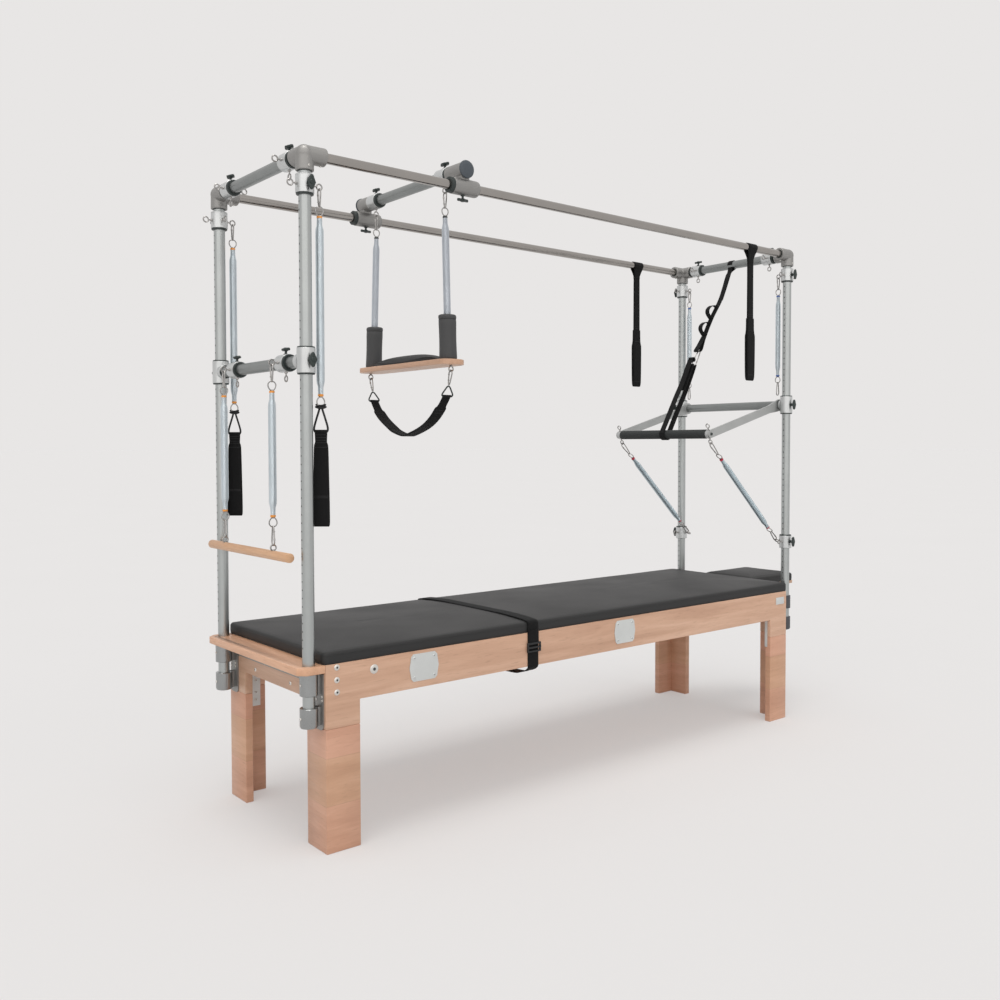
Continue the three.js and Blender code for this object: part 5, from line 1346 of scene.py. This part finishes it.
# Webbing at the right
def safety_strap():
    """A strap from the top crossbar to the grip: loops above, a steel link, and a doubled part below."""
    s = Shell("web_z")

    def place(x, z, share):
        return V(x, -15 * share, z)

    def round_at(x, z, share, radius, start, end, count):
        return [place(a, b, share) for a, b in arc((x, z), radius, start, end, count)]

    def strip(points, count, width, thickness):
        path = [place(*point) if isinstance(point, tuple) else point for point in points]
        ribbon(s, smooth_path(path, count), width, thickness, Y)

    wrap, hug = POST_R + 0.3 + 1.4, 22.5 + 1.6
    over = [V(POST_X - wrap * math.sin(a), 0, RAIL_Z + wrap * math.cos(a))
            for a in np.radians(np.linspace(-150, 128, 18))[::-1]]
    strip(over[2:] + [(1190, 2082, 0.05), (1158, 2014, 0.12), (1124, 1948, 0.2), (1056, 1856, 0.33),
                      (1003, 1766, 0.44), (986, 1728, 0.49), (974, 1703, 0.52), (959, 1694, 0.53),
                      (943, 1698, 0.53), (968, 1728, 0.49), (1001, 1770, 0.44)], 120, 27, 2.4)
    strip(over[:1] + [(1196, 2090, 0.04), (1162, 2016, 0.12), (1129, 1950, 0.2)], 20, 25, 2.2)
    curl = [(2, -6), (-12, -1), (-38, -4), (-60, -20), (-64, -38), (-52, -54), (-38, -66)]
    for a, b, share in ((1094, 1921, 0.24), (1042, 1838, 0.35)):
        strip([(a + dx, b + dz, share) for dx, dz in curl], 34, 24, 2.4)
    carabiner(s, place(974, 1704, 0.52), place(924, 1630, 0.58), Y, 12.0)
    ribbon(s, round_at(914, 1655, 0.58, 10, -170, 170, 16), 27, 2.6, Y)
    out = V(-0.84, 0, 0.54)
    left = [(906, 1656, 0.58), (888, 1626, 0.61), (846, 1548, 0.7), (802, 1479, 0.78), (734, 1367, 0.93),
            (704, 1318, 0.99)]
    under = round_at(GRIP[0], GRIP[2], 1, hug, 172, 372, 12)
    right = [(760, 1332, 0.98), (809, 1414, 0.87), (857, 1490, 0.77), (893, 1556, 0.69), (914, 1596, 0.64),
             (930, 1630, 0.6)]
    strip(left + under + right, 150, 30, 2.6)
    strip([(912, 1634, 0.6), (880, 1572, 0.68), (846, 1510, 0.75)], 20, 30, 5.0)
    for a, b, share in ((872, 1560, 0.69), (868, 1552, 0.7)):
        stitches(s, place(a, b, share), Y, out, 13, 3.4)
    obj = s.make("safety_strap_webbing", angle=50)
    dress(obj, "safety_strap")
    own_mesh(obj)


def strap_loops():
    """Long loops of webbing over the top rails, each with a padded hand loop at its foot."""
    # Height, half gap and width down the hand loop
    table = [(1818, 4.2, 39), (1808, 4.2, 40), (1796, 4.2, 40), (1768, 4.4, 41), (1752, 5.0, 45),
             (1738, 6.2, 50), (1700, 6.4, 50), (1640, 6.4, 49), (1590, 6.0, 48), (1560, 4.6, 48),
             (1549, 2.4, 47), (1546, 0.01, 45)]
    for name, sy in SIDES:
        x = 944.0 if sy < 0 else 882.0
        y = sy * POST_Y
        s = Shell("web_z")
        wrap = RAIL_R + 0.3 + 1.4
        path = [V(x, y + 2.4, 1800), V(x, y + 2.2, 1880), V(x, y + 2.4, 2050), V(x, y + 8, RAIL_Z - 30)]
        path += [V(x, y + wrap * math.cos(a), RAIL_Z + wrap * math.sin(a))
                 for a in np.linspace(-0.5, PI + 0.5, 15)]
        path += [V(x, y - 8, RAIL_Z - 30), V(x, y - 2.4, 2050), V(x, y - 2.2, 1880), V(x, y - 2.4, 1800)]
        fine = smooth_path(path, 130)
        wide = np.interp(fine[:, 2], [1800, 2040, 2076, 2096, 2112, 2150], [39, 38, 34, 46, 58, 62])
        ribbon(s, fine, wide, 2.4, X)
        block(s, V(x - 18, y - 5.4, 2066), V(x + 18, y + 5.4, 2076), "web_z", 1.6)
        gap_at = hand_loop(s, V(x, y, 0), X, Y, table, 100, 6.4, 0.6)
        for h in (1826, 1834):
            stitches(s, V(x, y, h), X, Y, 17, 3.9, 0.6)
        for h in (1762, 1568):
            stitches(s, V(x, y, h), X, Y, 20, gap_at(h) + 3.4)
        s.dress(f"strap_loop_{name}_webbing", f"strap_loop_{name}", "webbing", 0.5, angle=50)


# Studio
BACKGROUND = (0.807, 0.791, 0.783)


def seen_rays(tree):
    """1 for rays that show a surface to the camera, straight or by way of metal or glass, 0 for the light."""
    rays = tree.nodes.new("ShaderNodeLightPath").outputs
    value = rays["Is Camera Ray"]
    for name in ("Is Glossy Ray", "Is Transmission Ray"):
        either = tree.nodes.new("ShaderNodeMath")
        either.operation = "MAXIMUM"
        tree.links.new(value, either.inputs[0])
        tree.links.new(rays[name], either.inputs[1])
        value = either.outputs[0]
    return value


def studio():
    """A pale floor that keeps the shadow and meets the backdrop's colour in the distance."""
    floor = Nodes("floor_paper")
    tone = floor.noise(floor.scaled(1, 1, 1), 0.8, 2)
    base = floor.mix(floor.range(tone, 0.3, 0.7, 0, 1), (0.787, 0.7745, 0.770), (0.795, 0.7825, 0.778))
    floor.put(floor.shader, Base_Color=base, Roughness=1.0, Specular_IOR_Level=0.0)
    pale = floor.node("ShaderNodeEmission")
    pale.inputs[0].default_value = (*BACKGROUND, 1)
    mix = floor.node("ShaderNodeMixShader")
    floor.link(floor.math("MULTIPLY", seen_rays(floor.tree), 0.42), mix.inputs[0])
    floor.link(floor.shader.outputs[0], mix.inputs[1])
    floor.link(pale.outputs[0], mix.inputs[2])
    floor.link(mix.outputs[0], floor.out.inputs[0])
    half = 300
    mesh = bpy.data.meshes.new("studio_floor")
    corners = [(-half, -half, 0), (half, -half, 0), (half, half, 0), (-half, half, 0)]
    mesh.from_pydata(corners, [], [(0, 1, 2, 3)])
    mesh.materials.append(floor.material)
    obj = bpy.data.objects.new("studio_floor", mesh)
    bpy.context.scene.collection.objects.link(obj)


AZIMUTH, ELEVATION, ROLL = math.radians(40.4673), math.radians(1.8067), math.radians(-0.0479)
CAMERA_AT = Vector((-2.7302, -3.0268, 1.2535))
FOCAL_PX, CENTRE_PX = 983.35, (533.98, 477.04)


def camera():
    data = bpy.data.cameras.new("camera")
    data.sensor_width = 36
    data.lens = FOCAL_PX * 36 / 1000
    data.shift_x = (500 - CENTRE_PX[0]) / 1000
    data.shift_y = (CENTRE_PX[1] - 500) / 1000
    data.clip_end = 1000
    obj = bpy.data.objects.new("camera", data)
    bpy.context.scene.collection.objects.link(obj)
    forward = Vector((math.sin(AZIMUTH) * math.cos(ELEVATION), math.cos(AZIMUTH) * math.cos(ELEVATION),
                      -math.sin(ELEVATION)))
    right = Vector((math.cos(AZIMUTH), -math.sin(AZIMUTH), 0))
    up = right.cross(forward)
    basis = Matrix((right, up, -forward)).transposed().to_4x4()
    obj.matrix_world = Matrix.Translation(CAMERA_AT) @ basis @ Matrix.Rotation(ROLL, 4, "Z")
    bpy.context.scene.camera = obj


def lights():
    """An even pale dome, a soft lamp overhead for the shadow and a broad one from the front left."""
    world = bpy.data.worlds.new("studio")
    bpy.context.scene.world = world
    world.use_nodes = True
    tree = world.node_tree
    dome = tree.nodes["Background"]
    dome.inputs[0].default_value = (0.97, 0.993, 1.015, 1)
    dome.inputs[1].default_value = 0.50
    seen = tree.nodes.new("ShaderNodeBackground")
    seen.inputs[0].default_value = (*BACKGROUND, 1)
    seen.inputs[1].default_value = 1.0
    mix = tree.nodes.new("ShaderNodeMixShader")
    tree.links.new(seen_rays(tree), mix.inputs[0])
    tree.links.new(dome.outputs[0], mix.inputs[1])
    tree.links.new(seen.outputs[0], mix.inputs[2])
    tree.links.new(mix.outputs[0], tree.nodes["World Output"].inputs["Surface"])
    for name, power, spread, way in (("soft_top", 1.05, 34, (-0.08, -0.06, 0.995)),
                                     ("soft_front", 1.11, 100, (-0.50, -0.70, 0.51))):
        data = bpy.data.lights.new(name, "SUN")
        data.energy = power
        data.color = (1.03, 1.0, 0.97)
        data.angle = math.radians(spread)
        obj = bpy.data.objects.new(name, data)
        bpy.context.scene.collection.objects.link(obj)
        obj.rotation_euler = Vector(way).to_track_quat("Z", "Y").to_euler()


bpy.context.scene.view_settings.view_transform = "Standard"
camera()
wood_nodes()
bed_fittings()
upholstery()
mat_strap()
end_brackets()
posts()
corner_fittings()
canopy()
trolley()
trapeze()
sling()
mid_crossbar()
roll_up_bar()
leg_springs()
arm_springs()
push_bar()
push_springs()
safety_strap()
strap_loops()
studio()
lights()
